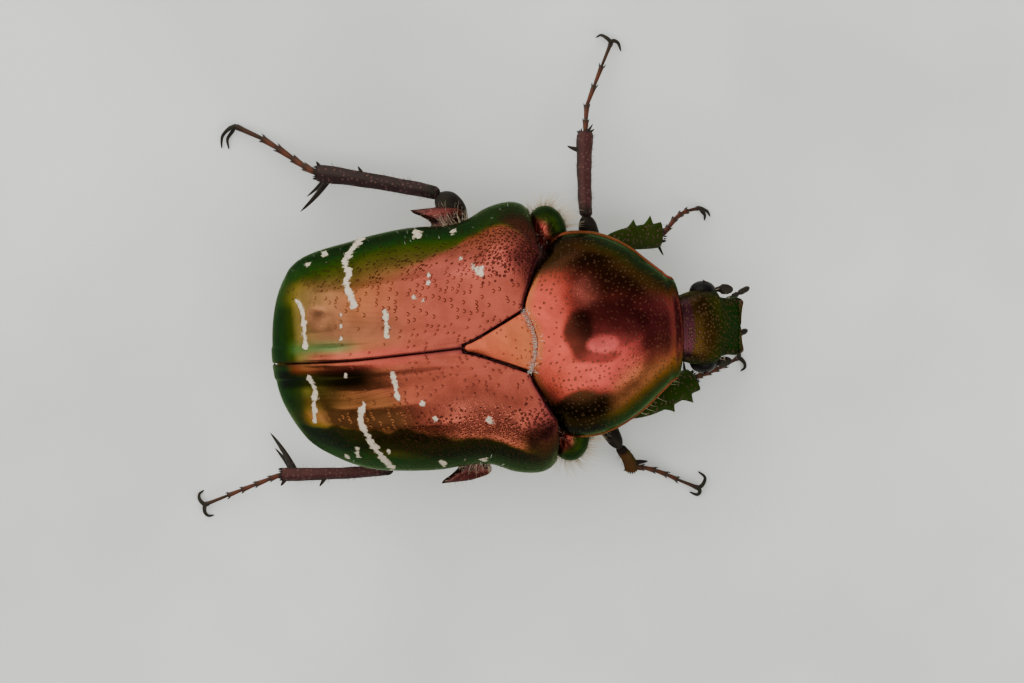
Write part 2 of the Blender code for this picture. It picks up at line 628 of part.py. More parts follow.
def make_tarsus(leg, size):
    """Five joints, each widening to its end, and two hooked claws, with flats where they stand."""
    apex = Vector(size["apex"])
    middle, end = (Vector(p) for p in size["foot"])
    tip = Vector(size["claws"])
    along = (middle - apex).normalized()
    start = apex + along * (GAP * 0.6)
    stops = [start]
    for k in range(1, TARSUS_SEGMENTS + 1):
        share = k / TARSUS_SEGMENTS
        stops.append((1 - share) ** 2 * start + 2 * share * (1 - share) * middle + share**2 * end)
    joints = []
    for k in range(TARSUS_SEGMENTS):
        a, b = stops[k], stops[k + 1]
        reach = b + (b - a).normalized() * 0.08
        joints.append(limb(
            f"tarsus_{leg}" if k == 0 else "joint", [a, lerp(a, reach, 0.7), reach],
            [TARSUS_RADIUS * 0.75, TARSUS_RADIUS * 0.95, TARSUS_RADIUS * 1.1], 1.0, Vector((0.1, 0.2, 1)), 8,
        ))
    ahead = (tip - end).normalized()
    sideways = Vector((-ahead.y, ahead.x, 0)).normalized()
    for sign in (1, -1):
        bend = end + ahead * 0.35 + sideways * (sign * CLAW_SPREAD * 0.8) + Vector((0, 0, 0.16))
        point = tip + sideways * (sign * CLAW_SPREAD * 1.15)
        point.z = 0.05
        joints.append(limb(
            "claw", [end - ahead * 0.1, bend, lerp(bend, point, 0.6) + ahead * 0.06, point],
            [CLAW_RADIUS * 0.8, CLAW_RADIUS, CLAW_RADIUS * 0.7, TOOTH_TIP], 1.0, Vector((0.1, 0.2, 1)), 6,
        ))
    foot = boolean(joints[0], joints[1:], "UNION")
    return boolean(foot, [slab_below_floor()], "DIFFERENCE")


def make_legs(coxae):
    legs = []
    for leg, size in LEGS.items():
        femur = make_femur(leg, size)
        tibia = make_tibia(leg, size)
        tarsus = make_tarsus(leg, size)
        if leg in coxae:
            carve(femur, coxae[leg])
        carve(tibia, femur)
        carve(tarsus, tibia)
        legs += [femur, tibia, tarsus]
    return legs


def material(name, colour, metallic, roughness):
    """A plain Principled finish for one kind of piece."""
    made = bpy.data.materials.new(name)
    made.use_nodes = True
    shader = made.node_tree.nodes["Principled BSDF"]
    shader.inputs["Base Color"].default_value = (*colour, 1.0)
    shader.inputs["Metallic"].default_value = metallic
    shader.inputs["Roughness"].default_value = roughness
    return made


def finish(objects):
    """Colours every piece, moves the origin to the middle of the outline and turns sizes to metres."""
    copper = material("copper_green_shell", (0.62, 0.2, 0.12), 0.9, 0.28)
    bronze = material("bronze_underside", (0.3, 0.1, 0.07), 0.8, 0.35)
    black = material("black_horn", (0.03, 0.02, 0.02), 0.0, 0.3)
    shelly = ("elytron", "prothorax", "scutellum", "mesepimeron", "head", "pygidium")
    dark = ("eye", "antenna", "palp", "tarsus")
    for obj in objects:
        stem = obj.name.split("_")[0]
        obj.data.materials.clear()
        obj.data.materials.append(copper if stem in shelly else black if stem in dark else bronze)
        obj.data.transform(Matrix.Scale(METRES, 4) @ Matrix.Translation(-ORIGIN))
        obj.data.shade_smooth()
        obj.data.set_sharp_from_angle(angle=math.radians(40))


def main():
    for obj in list(bpy.data.objects):
        bpy.data.objects.remove(obj)
    elytra = make_elytra()
    scutellum = make_scutellum()
    prothorax = make_prothorax()
    thorax = make_thorax()
    abdomen = make_abdomen()
    hind_coxae = make_hind_coxae()
    pygidium = ellipsoid("pygidium", PYGIDIUM_CENTRE, PYGIDIUM_RADII, 18, 9)
    head, *eyes = make_head()
    antennae = make_antennae()
    palps = make_palps()
    mesepimera = make_mesepimera()
    coxae = make_coxae()
    legs = make_legs(coxae)
    carve(thorax, *elytra, scutellum, prothorax, *hind_coxae)
    carve(thorax, *[coxae[leg] for leg in coxae if leg.startswith("middle")])
    carve(abdomen, *elytra, thorax, *hind_coxae)
    carve(prothorax, *[coxae[leg] for leg in coxae if leg.startswith("front")])
    for femur in legs[::3]:
        carve(femur, *hind_coxae, thorax, abdomen, prothorax)
    middle_femora = [leg for leg in legs if leg.name.startswith("femur_middle")]
    for plate in mesepimera:
        carve(plate, prothorax, thorax, *elytra, *middle_femora)
    carve(pygidium, abdomen, *elytra)
    carve(prothorax, head)
    for feeler, eye in zip(antennae, eyes):
        carve(feeler, head, eye)
    for palp in palps:
        carve(palp, head)
    finish([
        *elytra, scutellum, prothorax, thorax, abdomen, *hind_coxae, pygidium, head, *eyes, *antennae,
        *palps, *mesepimera, *coxae.values(), *legs,
    ])


main()
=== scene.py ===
"""The finished rose chafer: fine horny plates, legs, feelers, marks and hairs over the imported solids.

The file is laid out as an add-on and run as a script. The beetle faces +X with its left side towards +Y.
Shapes are worked out in millimetres from the tip of the scutellum and turned to metres when a mesh is made.
"""

import math

import bmesh
import bpy
import numpy as np
from mathutils import Matrix, Vector


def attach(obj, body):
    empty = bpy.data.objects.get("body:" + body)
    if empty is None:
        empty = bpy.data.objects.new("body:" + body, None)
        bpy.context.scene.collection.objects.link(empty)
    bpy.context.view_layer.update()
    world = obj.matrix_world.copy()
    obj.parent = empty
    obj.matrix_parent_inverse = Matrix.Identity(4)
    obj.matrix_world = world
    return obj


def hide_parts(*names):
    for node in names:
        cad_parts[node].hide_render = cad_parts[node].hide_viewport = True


bl_info = {
    "name": "Rose Chafer",
    "version": (1, 0, 0),
    "blender": (4, 5, 0),
    "location": "View3D > Sidebar > Chafer",
    "description": "Builds a life-size rose chafer with fine plates, marks and hairs",
    "category": "Object",
}

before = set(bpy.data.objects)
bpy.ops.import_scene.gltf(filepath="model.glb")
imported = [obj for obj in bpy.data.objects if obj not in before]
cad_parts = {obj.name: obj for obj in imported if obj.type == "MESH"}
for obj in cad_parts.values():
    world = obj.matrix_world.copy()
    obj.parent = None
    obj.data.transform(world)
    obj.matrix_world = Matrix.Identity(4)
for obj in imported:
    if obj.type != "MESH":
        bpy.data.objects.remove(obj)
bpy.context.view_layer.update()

MM = 0.001
# Where the frame's origin lies in the millimetres of this file.
ORIGIN = np.array((0.15, 1.97, 0.0))
BODY = "root"
RNG_SEED = 7
SHARP_ANGLE = math.radians(50)
POLE_GAP = 0.02

# Elytra: the outer edge's half width, and how the edge, the crown and the rear slope run.
ELYTRA_HALF_WIDTH = (
    (-6.75, 2.75), (-6.3, 3.35), (-5.5, 3.85), (-4.4, 4.25), (-3.0, 4.52), (-1.5, 4.64), (-0.1, 4.56),
    (0.6, 4.68), (1.4, 5.05), (2.2, 5.2), (2.7, 5.1), (3.05, 4.8),
)
ELYTRA_CORNER_X = -6.75
ELYTRA_REAR_X = -7.4
ELYTRA_SHOULDER_X, ELYTRA_SHOULDER_Y = 3.05, 4.8
ELYTRA_EDGE_HEIGHT = ((0.0, 4.9), (0.3, 4.95), (0.55, 5.15), (0.7, 5.3), (0.85, 4.95), (1.0, 4.8))
ELYTRA_CROWN_HEIGHT = 9.0
ELYTRA_SLOPE_START = 0.56
ELYTRA_SLOPE_POWERS = (2.5, 1.6)
ELYTRA_SIDE_POWERS = (3.0, 1.8)
# Swellings of an elytron: place along the body and out from its middle, spread, height. Its trough has a length
# and a breadth instead of the spread, and a depth.
SHOULDER_KNOB = (1.7, 3.75, 0.7, 0.25)
REAR_KNOB = (-5.5, 2.5, 0.6, 0.22)
SUTURE_TROUGH = (-4.2, 1.15, 1.9, 0.5, 0.12)
# The gap between the elytra, how far they stay behind the line of the pronotum's rear and off the scutellum, and
# how far the pronotum's own edge lies behind that line.
ELYTRA_SEAM = 0.035
ELYTRA_LAP = 0.13
SCUTELLUM_SEAM = 0.03
PRONOTUM_LAP = 0.1
ELYTRA_THICKNESS = 0.24
ELYTRA_FRONT_X, SHOULDER_BEND_Y = 3.25, 3.6
ELYTRA_REAR_POWER = 2.4
# How the edges at the seam, the front and the rear are rounded, and the bead, ribs and unevenness on the plate.
ELYTRA_EDGE_RADII = (0.05, 0.06, 0.08)
SIDE_BEAD_HEIGHT, ELYTRA_UNEVENNESS = 0.05, 0.012
SUTURE_RIDGE_Y, SUTURE_RIDGE_HEIGHT = 0.6, 0.05
DISC_RIB_Y, DISC_RIB_HEIGHT = 2.62, 0.05
INNER_RIB_Y, INNER_RIB_HEIGHT = 1.9, 0.02

SCUTELLUM_LENGTH = 2.5
SCUTELLUM_HALF_WIDTH = 1.2
SCUTELLUM_TIP_RADIUS = 0.16
SCUTELLUM_HEIGHT, SCUTELLUM_EDGE_RADIUS, SCUTELLUM_THICKNESS = 8.97, 0.06, 0.3

PRONOTUM_REAR = ((0.0, 2.9), (0.6, 2.78), (1.25, 2.55), (2.2, 2.9), (3.05, 3.3), (3.5, 3.65), (3.9, 4.2))
PRONOTUM_FRONT_X = 8.2
PRONOTUM_FRONT_SETBACK = 0.16
PRONOTUM_HALF_WIDTH = (
    (0.0, 3.4), (0.05, 3.66), (0.13, 3.85), (0.25, 3.9), (0.42, 3.82), (0.6, 3.5), (0.78, 2.9),
    (0.92, 2.2), (1.0, 1.76),
)
PRONOTUM_CROWN_HEIGHT = ((0.0, 8.95), (0.35, 8.8), (0.7, 8.05), (0.9, 7.2), (1.0, 6.6))
PRONOTUM_EDGE_HEIGHT = ((0.0, 6.3), (0.3, 5.85), (0.7, 5.25), (1.0, 5.05))
PROTHORAX_UNDER_HEIGHT = ((0.0, 3.1), (0.5, 3.1), (1.0, 3.7))
# Rings that close the prothorax at the front and rear: how far each is drawn in, and how far it lies inside.
PRONOTUM_FOLD = ((0.02, 0.0), (0.05, 0.03), (0.08, 0.12), (0.12, 0.4), (0.2, 0.9))
PRONOTUM_LIP = ((0.3, 0.3), (0.1, 0.15), (0.03, 0.06))
PROTHORAX_TURN = math.radians(-3.5)
PROTHORAX_PIVOT = Vector((3.1, -3.0, 0.0))

HEAD_NECK = Vector((8.45, 0.0, 5.2))
HEAD_PITCH = math.radians(32.0)
HEAD_TURN = math.radians(-2.5)
HEAD_LENGTH = 2.34
HEAD_NECK_LENGTH = 0.8
HEAD_HALF_WIDTH = (
    (-0.8, 1.1), (0.0, 1.38), (0.5, 1.44), (0.95, 1.38), (1.25, 1.18), (1.7, 1.1), (2.15, 1.12), (2.34, 1.0),
)
HEAD_TOP = ((-0.8, 0.85), (0.0, 1.08), (0.8, 0.98), (1.5, 0.7), (2.1, 0.42), (2.34, 0.3))
HEAD_UNDER = ((-0.8, -0.8), (0.0, -1.1), (0.8, -1.15), (1.5, -0.95), (2.0, -0.55), (2.34, -0.2))
EYE_CENTRE = (0.72, 1.38, -0.05)
EYE_RADII = (0.52, 0.4, 0.5)
# In the head's own place: root, elbow, start and tip of the club of each feeler, and the root and tip of each palp.
ANTENNAE = {
    "left": ((1.1, 1.22, -0.2), (1.32, 1.42, -0.12), (1.6, 1.44, -0.08), (2.08, 1.4, 0.0)),
    "right": ((1.1, -1.22, -0.3), (1.36, -1.45, -0.35), (1.7, -1.42, -0.35), (2.2, -1.34, -0.3)),
}
FEELER_JOINTS = 5
# Joints of a palp: where each starts and ends along it, and its radius.
PALP_JOINTS = ((-0.1, 0.3, 0.1), (0.27, 0.55, 0.11), (0.52, 1.0, 0.12))
PALPS = {"left": ((2.25, 0.95, -0.75), (3.3, 1.45, -0.6)), "right": ((2.2, -0.6, -0.7), (3.2, -0.2, -0.6))}

# Sections of the thorax: place along the body, half width, top, middle and bottom.
THORAX_SECTIONS = (
    (3.0, 3.1, 7.3, 5.0, 3.6),
    (2.6, 4.0, 7.6, 4.9, 2.9),
    (1.7, 4.5, 7.9, 4.7, 2.5),
    (0.6, 4.55, 8.0, 4.4, 2.35),
    (-0.4, 4.2, 8.0, 4.5, 2.4),
    (-1.1, 3.75, 7.95, 4.9, 3.2),
    (-1.8, 3.7, 7.85, 5.2, 4.2),
)
THORAX_POWERS = (2.6, 2.4)
KNOB_CENTRE, KNOB_RADII = (3.15, 0.0, 2.75), (0.65, 0.42, 0.42)
# Forms that close the gap under each shoulder, black as painted shade.
SHOULDER_FILL_CENTRE, SHOULDER_FILL_RADII = (2.55, 3.95, 5.35), (0.85, 0.76, 1.15)
ABDOMEN_HALF_WIDTH = ((-6.6, 2.1), (-6.0, 2.75), (-5.0, 3.35), (-3.5, 3.75), (-2.1, 3.8))
ABDOMEN_TOP = ((-6.6, 5.4), (-6.0, 6.3), (-5.0, 7.3), (-3.5, 7.75), (-2.1, 7.9))
ABDOMEN_MIDDLE = ((-6.6, 4.3), (-2.1, 4.5))
ABDOMEN_BOTTOM = ((-6.6, 3.5), (-6.0, 3.1), (-5.0, 2.8), (-3.5, 2.55), (-2.1, 2.45))
ABDOMEN_RINGS = (-1.6, -2.95, -3.75, -4.5, -5.25, -6.0, -6.6)
ABDOMEN_STEP = 0.1
PYGIDIUM_CENTRE, PYGIDIUM_RADII = (-6.1, 0.0, 4.05), (1.17, 2.75, 1.2)
MESEPIMERON_CENTRE, MESEPIMERON_RADII = (3.62, 3.92, 4.8), (0.78, 1.02, 1.55)
# Sections of a hind coxa: place out from the middle, front, rear, lowest and highest.
HIND_COXA_SECTIONS = (
    (0.15, -0.75, -1.75, 2.4, 3.4),
    (1.6, -0.7, -1.85, 2.35, 3.5),
    (3.2, -0.35, -1.6, 2.65, 3.75),
    (4.2, 0.2, -1.1, 3.05, 4.0),
    (4.7, 0.42, -0.75, 3.2, 4.0),
    (5.0, 0.5, -1.05, 3.3, 3.95),
    (5.2, 0.3, -1.4, 3.5, 3.85),
    (5.33, -0.35, -1.5, 3.62, 3.8),
)
# Each leg: its coxa, hip, knee, the end of the shin (the apex), two places along the foot, the tip of the claws,
# the widths of thigh and shin, and where the outer edge of the shin faces.
LEGS = {
    "front_left": dict(
        coxa=(6.1, 0.75, 3.1), coxa_radii=(0.62, 0.6, 0.75), hip=(6.05, 1.15, 2.45), knee=(5.55, 3.15, 3.3),
        apex=(8.2, 3.45, 1.75), foot=((8.75, 3.8, 1.15), (9.35, 3.95, 0.22)), claws=(9.95, 3.6, 0.0),
        femur_width=0.56, tibia_width=0.46, outer=(0.1, 1.0, 0.15),
    ),
    "front_right": dict(
        coxa=(6.1, -1.15, 3.1), coxa_radii=(0.62, 0.6, 0.75), hip=(6.15, -1.55, 2.45), knee=(6.2, -3.55, 3.3),
        apex=(8.95, -2.5, 1.8), foot=((9.6, -2.35, 1.2), (10.2, -2.15, 0.22)), claws=(10.75, -1.9, 0.0),
        femur_width=0.56, tibia_width=0.46, outer=(0.35, -0.9, 0.15),
    ),
    "middle_left": dict(
        coxa=(2.0, 1.3, 2.6), coxa_radii=(0.75, 0.62, 0.55), hip=(2.3, 1.75, 1.9), knee=(5.2, 4.1, 3.75),
        apex=(5.6, 7.5, 1.7), foot=((6.0, 8.75, 0.75), (6.55, 10.1, 0.22)), claws=(6.9, 10.75, 0.0),
        femur_width=0.68, tibia_width=0.36, outer=(-1.0, 0.1, 0.2),
    ),
    "middle_right": dict(
        coxa=(2.0, -1.3, 2.6), coxa_radii=(0.75, 0.62, 0.55), hip=(2.3, -1.75, 1.9), knee=(5.3, -4.35, 3.95),
        apex=(5.95, -5.75, 0.85), foot=((6.7, -5.9, 0.35), (7.95, -6.65, 0.22)), claws=(8.6, -6.45, 0.0),
        femur_width=0.68, tibia_width=0.36, outer=(1.0, 0.1, 0.2),
    ),
    "hind_left": dict(
        coxa=None, hip=(-1.35, 1.2, 1.75), knee=(0.35, 5.45, 3.05),
        apex=(-5.0, 7.15, 1.75), foot=((-6.6, 8.05, 0.95), (-7.75, 9.0, 0.22)), claws=(-8.2, 9.1, 0.0),
        femur_width=0.74, tibia_width=0.4, outer=(0.25, 1.0, 0.2),
    ),
    "hind_right": dict(
        coxa=None, hip=(-1.35, -1.2, 1.75), knee=(-3.2, -4.75, 3.1),
        apex=(-7.7, -4.45, 1.25), foot=((-9.2, -4.85, 0.55), (-10.4, -5.25, 0.22)), claws=(-11.05, -5.35, 0.0),
        femur_width=0.74, tibia_width=0.4, outer=(0.0, -1.0, 0.2),
    ),
}
FEMUR_PROFILE = ((0.0, 0.5), (0.18, 0.85), (0.45, 1.0), (0.78, 0.8), (0.95, 0.6), (1.0, 0.52))
TIBIA_PROFILE = ((0.0, 0.62), (0.08, 0.68), (0.35, 0.72), (0.7, 0.78), (0.94, 0.86), (1.0, 0.74))
BLADE_PROFILE = ((0.0, 0.3), (0.08, 0.5), (0.25, 0.82), (0.5, 1.0), (0.8, 1.08), (0.95, 1.0), (1.0, 0.7))
# Teeth of a front shin: where along it, and how far each stands out.
BLADE_TEETH = ((0.53, 0.27), (0.79, 0.33), (0.965, 0.1))
STEEP_SHIN_BROWN = (0.045, 0.032, 0.01)
# Spurs of a shin: where along it, how far outwards and onwards they reach, their radius, and how far they drop.
SPURS = {
    "front": ((0.9, -0.8, 0.36, 0.08, 0.0),),
    "middle": (
        (0.78, 0.72, 0.16, 0.13, 0.0), (0.98, 0.34, 0.14, 0.1, 0.0), (0.98, -0.36, 0.3, 0.07, 0.0),
        (0.98, -0.3, 0.52, 0.07, 0.15),
    ),
    "hind": (
        (0.6, 0.54, 0.34, 0.12, 0.0), (0.95, 0.46, 0.3, 0.13, 0.0), (0.88, -1.64, 1.1, 0.14, 0.15),
        (0.9, -1.0, 0.8, 0.1, 0.45),
    ),
}
SHIN_BRISTLES = 16
TARSUS_RADIUS = 0.155
# A foot: how far along it its joints meet, the width of a joint and of the last one, the bristles round the end of
# a joint as angles, and the path of a claw as steps ahead, out and up.
FOOT_JOINTS = (0.0, 0.16, 0.36, 0.54, 0.72, 1.0)
JOINT_PROFILE = ((0.0, 0.6), (0.25, 0.7), (0.8, 0.92), (1.0, 1.02))
LAST_JOINT_PROFILE = ((0.0, 0.55), (0.3, 0.66), (0.75, 0.78), (1.0, 0.95))
JOINT_BRISTLES = (-2.7, -1.6, -0.5, 0.4, 2.8)
CLAW_PATH = ((0.16, 0.26, -0.02), (0.1, 0.46, -0.14), (-0.12, 0.53, -0.285))
# What each leg adds to its solids: bends of the thigh, how broad its end is, how slim the shin, where the
# shin starts along its line, the foot's joints, and the path of each claw.
LEG_DETAILS = {
    "front_left": dict(
        knee=(5.6, 3.2, 3.3), apex=(8.12, 3.2, 1.75), slim=1.0,
        joints=((8.42, 3.47, 1.5), (8.7, 3.76, 1.2), (8.98, 3.93, 0.92), (9.24, 4.02, 0.7), (9.7, 4.06, 0.4)),
        hooks=(((9.88, 4.0, 0.42), (10.04, 3.9, 0.28), (10.14, 3.68, 0.05)),
               ((9.84, 3.92, 0.3), (9.93, 3.77, 0.2), (9.9, 3.55, 0.03))),
    ),
    "front_right": dict(knee=(5.95, -3.6, 3.3), apex=(8.75, -2.45, 1.8), slim=1.0),
    "middle_left": dict(
        knee=(5.24, 4.38, 3.72), mids=((5.12, 3.2, 3.15),), broad=0.8, slim=1.06, start=-0.03,
        joints=((5.68, 7.98, 1.45), (5.79, 8.56, 1.1), (6.18, 9.31, 0.85), (6.56, 10.04, 0.6), (7.0, 10.85, 0.38)),
        hooks=(((6.92, 11.06, 0.45), (6.68, 11.24, 0.34), (6.46, 11.17, 0.1)),
               ((7.12, 10.97, 0.45), (7.3, 10.86, 0.34), (7.38, 10.53, 0.1))),
    ),
    "middle_right": dict(
        knee=(5.55, -4.75, 3.85), mids=((4.75, -3.35, 3.3),), broad=0.68, slim=0.9,
        joints=((6.4, -5.8, 0.75), (6.85, -5.97, 0.62), (7.3, -6.2, 0.55), (7.7, -6.45, 0.45), (8.42, -6.85, 0.35)),
        hooks=(((8.66, -6.76, 0.42), (8.78, -6.5, 0.3), (8.55, -6.25, 0.05)),
               ((8.52, -7.02, 0.4), (8.4, -7.14, 0.26), (8.12, -7.02, 0.05))),
    ),
    "hind_left": dict(
        knee=(-0.36, 5.84, 3.14), mids=((-0.45, 3.4, 2.6), (0.1, 5.05, 3.1)), broad=1.05, start=-0.02, slim=1.0,
        joints=((-5.42, 7.43, 1.4), (-5.85, 7.79, 1.12), (-6.42, 8.28, 0.9), (-6.99, 8.72, 0.65),
                (-7.96, 9.3, 0.42)),
        hooks=(((-8.26, 9.24, 0.4), (-8.55, 8.97, 0.24), (-8.64, 8.52, 0.04)),
               ((-8.14, 9.12, 0.28), (-8.36, 8.85, 0.16), (-8.36, 8.45, 0.03))),
    ),
    "hind_right": dict(knee=(-3.2, -4.62, 3.1), apex=(-7.7, -4.42, 1.25), slim=0.78),
}

# Pale marks of the elytra, in millimetres: the places along each and its half width.
MARKS = {
    "left": (
        (((-3.45, 4.5), (-3.75, 4.21), (-3.98, 3.95), (-4.15, 3.7), (-4.0, 3.33), (-4.12, 3.02), (-4.12, 2.75),
          (-4.03, 2.42), (-3.96, 2.06)), 0.12),
        (((-2.79, 1.78), (-2.8, 1.33), (-2.84, 0.8)), 0.09),
        (((-6.1, 2.45), (-5.93, 2.05), (-5.93, 1.63), (-5.94, 1.14), (-5.97, 0.69)), 0.09),
        (((0.7, 3.02), (0.85, 2.86), (0.98, 2.72)), 0.11), (((0.98, 2.72), (1.02, 2.9)), 0.06),
        (((-0.98, 2.97), (-1.03, 2.6)), 0.06),
        (((-4.47, 1.81), (-4.49, 1.7)), 0.02), (((-4.51, 1.45), (-4.53, 1.32)), 0.02),
        (((-4.6, 0.98), (-4.56, 0.86)), 0.02), (((-4.43, 0.75), (-4.38, 0.72)), 0.02),
        (((-1.65, 2.15), (-1.6, 2.12)), 0.06), (((-1.32, 2.0), (-1.3, 1.98)), 0.05),
        (((0.25, 3.43), (0.28, 3.4)), 0.06), (((-1.34, 4.5), (-1.24, 4.4)), 0.13),
        (((-1.45, 4.36), (-1.1, 4.47)), 0.07), (((0.08, 4.4), (0.14, 4.42)), 0.1),
        (((-4.95, 4.06), (-4.85, 4.1)), 0.09), (((-5.6, 3.75), (-5.52, 3.78)), 0.07),
    ),
    "right": (
        (((-3.99, 1.71), (-4.15, 2.04), (-4.19, 2.39), (-4.11, 2.67), (-4.0, 2.96), (-3.9, 3.22), (-3.77, 3.45),
          (-3.57, 3.88), (-3.25, 4.35)), 0.12),
        (((-2.76, 0.65), (-2.74, 1.11), (-2.68, 1.59)), 0.09),
        (((-5.96, 0.43), (-5.87, 0.77), (-5.83, 1.08), (-5.9, 1.66), (-5.97, 2.18)), 0.09),
        (((0.64, 2.8), (0.72, 2.95)), 0.11), (((-4.54, 0.5), (-4.56, 0.56)), 0.05),
        (((-1.76, 1.83), (-1.78, 1.9)), 0.07), (((-1.39, 2.5), (-1.41, 2.58)), 0.08),
        (((-1.34, 4.31), (-1.26, 4.4)), 0.11), (((0.2, 4.42), (0.3, 4.44)), 0.09),
        (((-4.47, 3.4), (-4.51, 3.74)), 0.07), (((-4.96, 3.68), (-4.9, 3.72)), 0.08),
        (((-3.32, 3.61), (-3.28, 3.66)), 0.05),
    ),
}

# Where the painted light on the copper of the left wing case ends and the painted dark reflection on the side of
# the right one begins: along the body, out from the middle.
LEFT_LIT_EDGE = (
    (-3.0, 3.0), (-1.5, 3.35), (-0.2, 3.7), (0.9, 4.15), (1.9, 4.42), (2.5, 4.1), (2.9, 3.6), (3.2, 3.1),
)
RIGHT_SHADOW = (
    (-6.5, 2.6), (-4.8, 2.55), (-2.75, 2.72), (-1.65, 3.1), (-0.53, 3.35), (0.6, 3.5), (1.7, 4.05), (2.5, 4.5),
)
# How the wing cases differ: how far the flank's olive and green are dimmed, a painted shade that darkens the right
# flank more, and where along the body the pits of the shoulder, the fine lines and the rosy seam fade out and are
# full.
WING_CASES = {
    "left": dict(sign=1, shade=0.85, shoulder=(0.2, 1.6), striae_end=(-4.9, -4.3), rose_end=(-6.2, -5.5)),
    "right": dict(sign=-1, shade=0.55, shoulder=(-4.5, -0.5), striae_end=(-6.3, -5.7), rose_end=(-6.9, -6.3)),
}

# Colours of single places on the plates. Those named for highlights, shadows and reflections are painted light and
# shade.
CASE_COPPER, LIT_COPPER_HIGHLIGHT = (0.225, 0.045, 0.029), (0.3, 0.062, 0.045)
PINK_HIGHLIGHT, AMBER = (0.7, 0.16, 0.1), (0.42, 0.16, 0.055)
TAN, STRAW, BROWN, SHOULDER_SHADOW_BROWN = (0.24, 0.09, 0.045), (0.3, 0.17, 0.055), (0.14, 0.055, 0.028), (0.022, 0.012, 0.004)
SEAM_HIGHLIGHT_GREEN, DARK_GREEN = (0.06, 0.15, 0.045), (0.008, 0.025, 0.002)
TAIL_SHADOW, DARK_REFLECTION_OLIVE, UMBER = (0.012, 0.028, 0.01), (0.01, 0.011, 0.002), (0.03, 0.012, 0.005)
RIM_RED, ORANGE_HIGHLIGHT, MOSS, DARK_REFLECTION_BROWN = (0.34, 0.07, 0.06), (0.5, 0.16, 0.06), (0.03, 0.034, 0.003), (0.022, 0.013, 0.003)
SEAM_BROWN, THORAX_BROWN, COXA_BROWN = (0.05, 0.02, 0.02), (0.16, 0.07, 0.06), (0.045, 0.022, 0.02)
THORAX_OLIVE, ABDOMEN_OLIVE, NECK_PLUM = (0.1, 0.1, 0.03), (0.12, 0.08, 0.03), (0.06, 0.014, 0.026)
EYE_BLACK, WHITE_HAIR, LEG_HAIR = (0.006, 0.005, 0.005), (0.8, 0.76, 0.66), (0.09, 0.055, 0.035)

# Oval patches of painted light and shade, highlights and dark reflections: the colour and its strength, the middle,
# how far it reaches along and across the body, and at which shares of that reach it has faded out and is full.
LEFT_TAIL_HIGHLIGHT = (((0.52, 0.21, 0.095), 0.85, (-5.4, 1.62), (0.5, 0.45), (1.25, 0.5)),)
RIGHT_SHOULDER_DARK_REFLECTION = (((0.016, 0.007, 0.003), 0.85, (2.55, 3.75), (0.85, 0.9), (1.0, 0.5)),)
PRONOTUM_HIGHLIGHT = (((0.8, 0.17, 0.12), 0.85, (4.6, 1.75), (0.65, 0.75), (1.15, 0.4)),)
PRONOTUM_SHADOWS = (
    ((0.02, 0.01, 0.003), 0.93, (4.3, -2.95), (1.45, 0.95), (1.15, 0.8)),
    ((0.07, 0.012, 0.012), 0.7, (5.4, 0.4), (1.5, 1.0), (1.15, 0.7)),
)
PRONOTUM_REFLECTION_RING = (
    ((0.022, 0.007, 0.004), 0.85, (4.2, 0.15), (0.55, 0.95), (1.2, 0.7)),
    ((0.1, 0.015, 0.012), 0.8, (4.95, -0.78), (0.8, 0.25), (1.2, 0.7)),
    ((0.4, 0.06, 0.055), 0.85, (5.1, -0.3), (0.6, 0.36), (1.15, 0.7)),
)

# Horn: the largest share of places that have a pit, how many grains lie along a millimetre and how deep they are,
# how far the wave of the fine lines turns in a millimetre, in radians, how far a pale mark stands up, and the
# colour of a grazing reflection.
MOST_PITS = 0.95
GRAIN_SCALE, GRAIN_DEPTH = 24.0, 0.004
STRIAE_PACE = 32.0
MARK_RISE = 0.012
GREEN_SHEEN = (0.3, 0.42, 0.2)

# Camera: where it stands, what it looks at, and how far its frame is turned.
CAMERA_POINT = (1.84, 9.05, 214.8)
CAMERA_TARGET = (1.84, -0.11, 5.0)
CAMERA_TURN = math.radians(6.5)
CAMERA_LENS = 191.95
CAMERA_SENSOR = 36.0
# The stage, in metres: each light's place, what it faces, its size, its share of the key light's strength, and
# its colour.
FLOOR_REACH = 0.6
WARM_LIGHT, COOL_LIGHT = (1.0, 0.98, 0.95), (0.85, 0.93, 1.0)
LIGHTS = (
    ("overhead light", (-0.2, 0.31, 0.4), (-0.2, 0.31, 0), (0.6, 0.86), 0.7, WARM_LIGHT),
    ("right light", (0.26, -0.32, 0.4), (0.26, -0.32, 0), (0.48, 0.56), 0.36, WARM_LIGHT),
    ("left light", (-0.1, 0.95, 0.3), (-0.05, 0.0, 0.0), (0.9, 0.5), 0.45, WARM_LIGHT),
    ("tail light", (-0.75, 0.42, 0.3), (0.0, 0.05, 0.0), (0.7, 0.5), 0.34, WARM_LIGHT),
    ("low light", (0.3, -0.2, 0.15), (0, 0, 0.004), (0.07, 0.07), 0.01, (1.0, 0.97, 0.92)),
)


def colour_property(name, description, default):
    """A colour that the sidebar shows."""
    return bpy.props.FloatVectorProperty(
        name=name, description=description, subtype="COLOR", size=3, min=0, max=1, default=default,
    )


class ChaferShell(bpy.types.PropertyGroup):
    """Colours of the horny plates."""

    copper: colour_property("Copper", "Colour of the scutellum and the rear of the pronotum", (0.38, 0.055, 0.033))
    rose: colour_property("Rose", "Colour of the middle of the pronotum", (0.36, 0.045, 0.04))
    gold: colour_property("Gold", "Colour between the copper and the green", (0.22, 0.085, 0.024))
    green: colour_property("Green", "Colour of the sides", (0.035, 0.075, 0.006))
    deep_green: colour_property("Deep green", "Colour of the steep edges", (0.008, 0.028, 0.004))
    plum: colour_property("Plum", "Dark purple of the shoulders and the fronts of the plates", (0.07, 0.012, 0.018))
    mark: colour_property("Pale marks", "Colour of the chalky marks", (0.72, 0.6, 0.46))


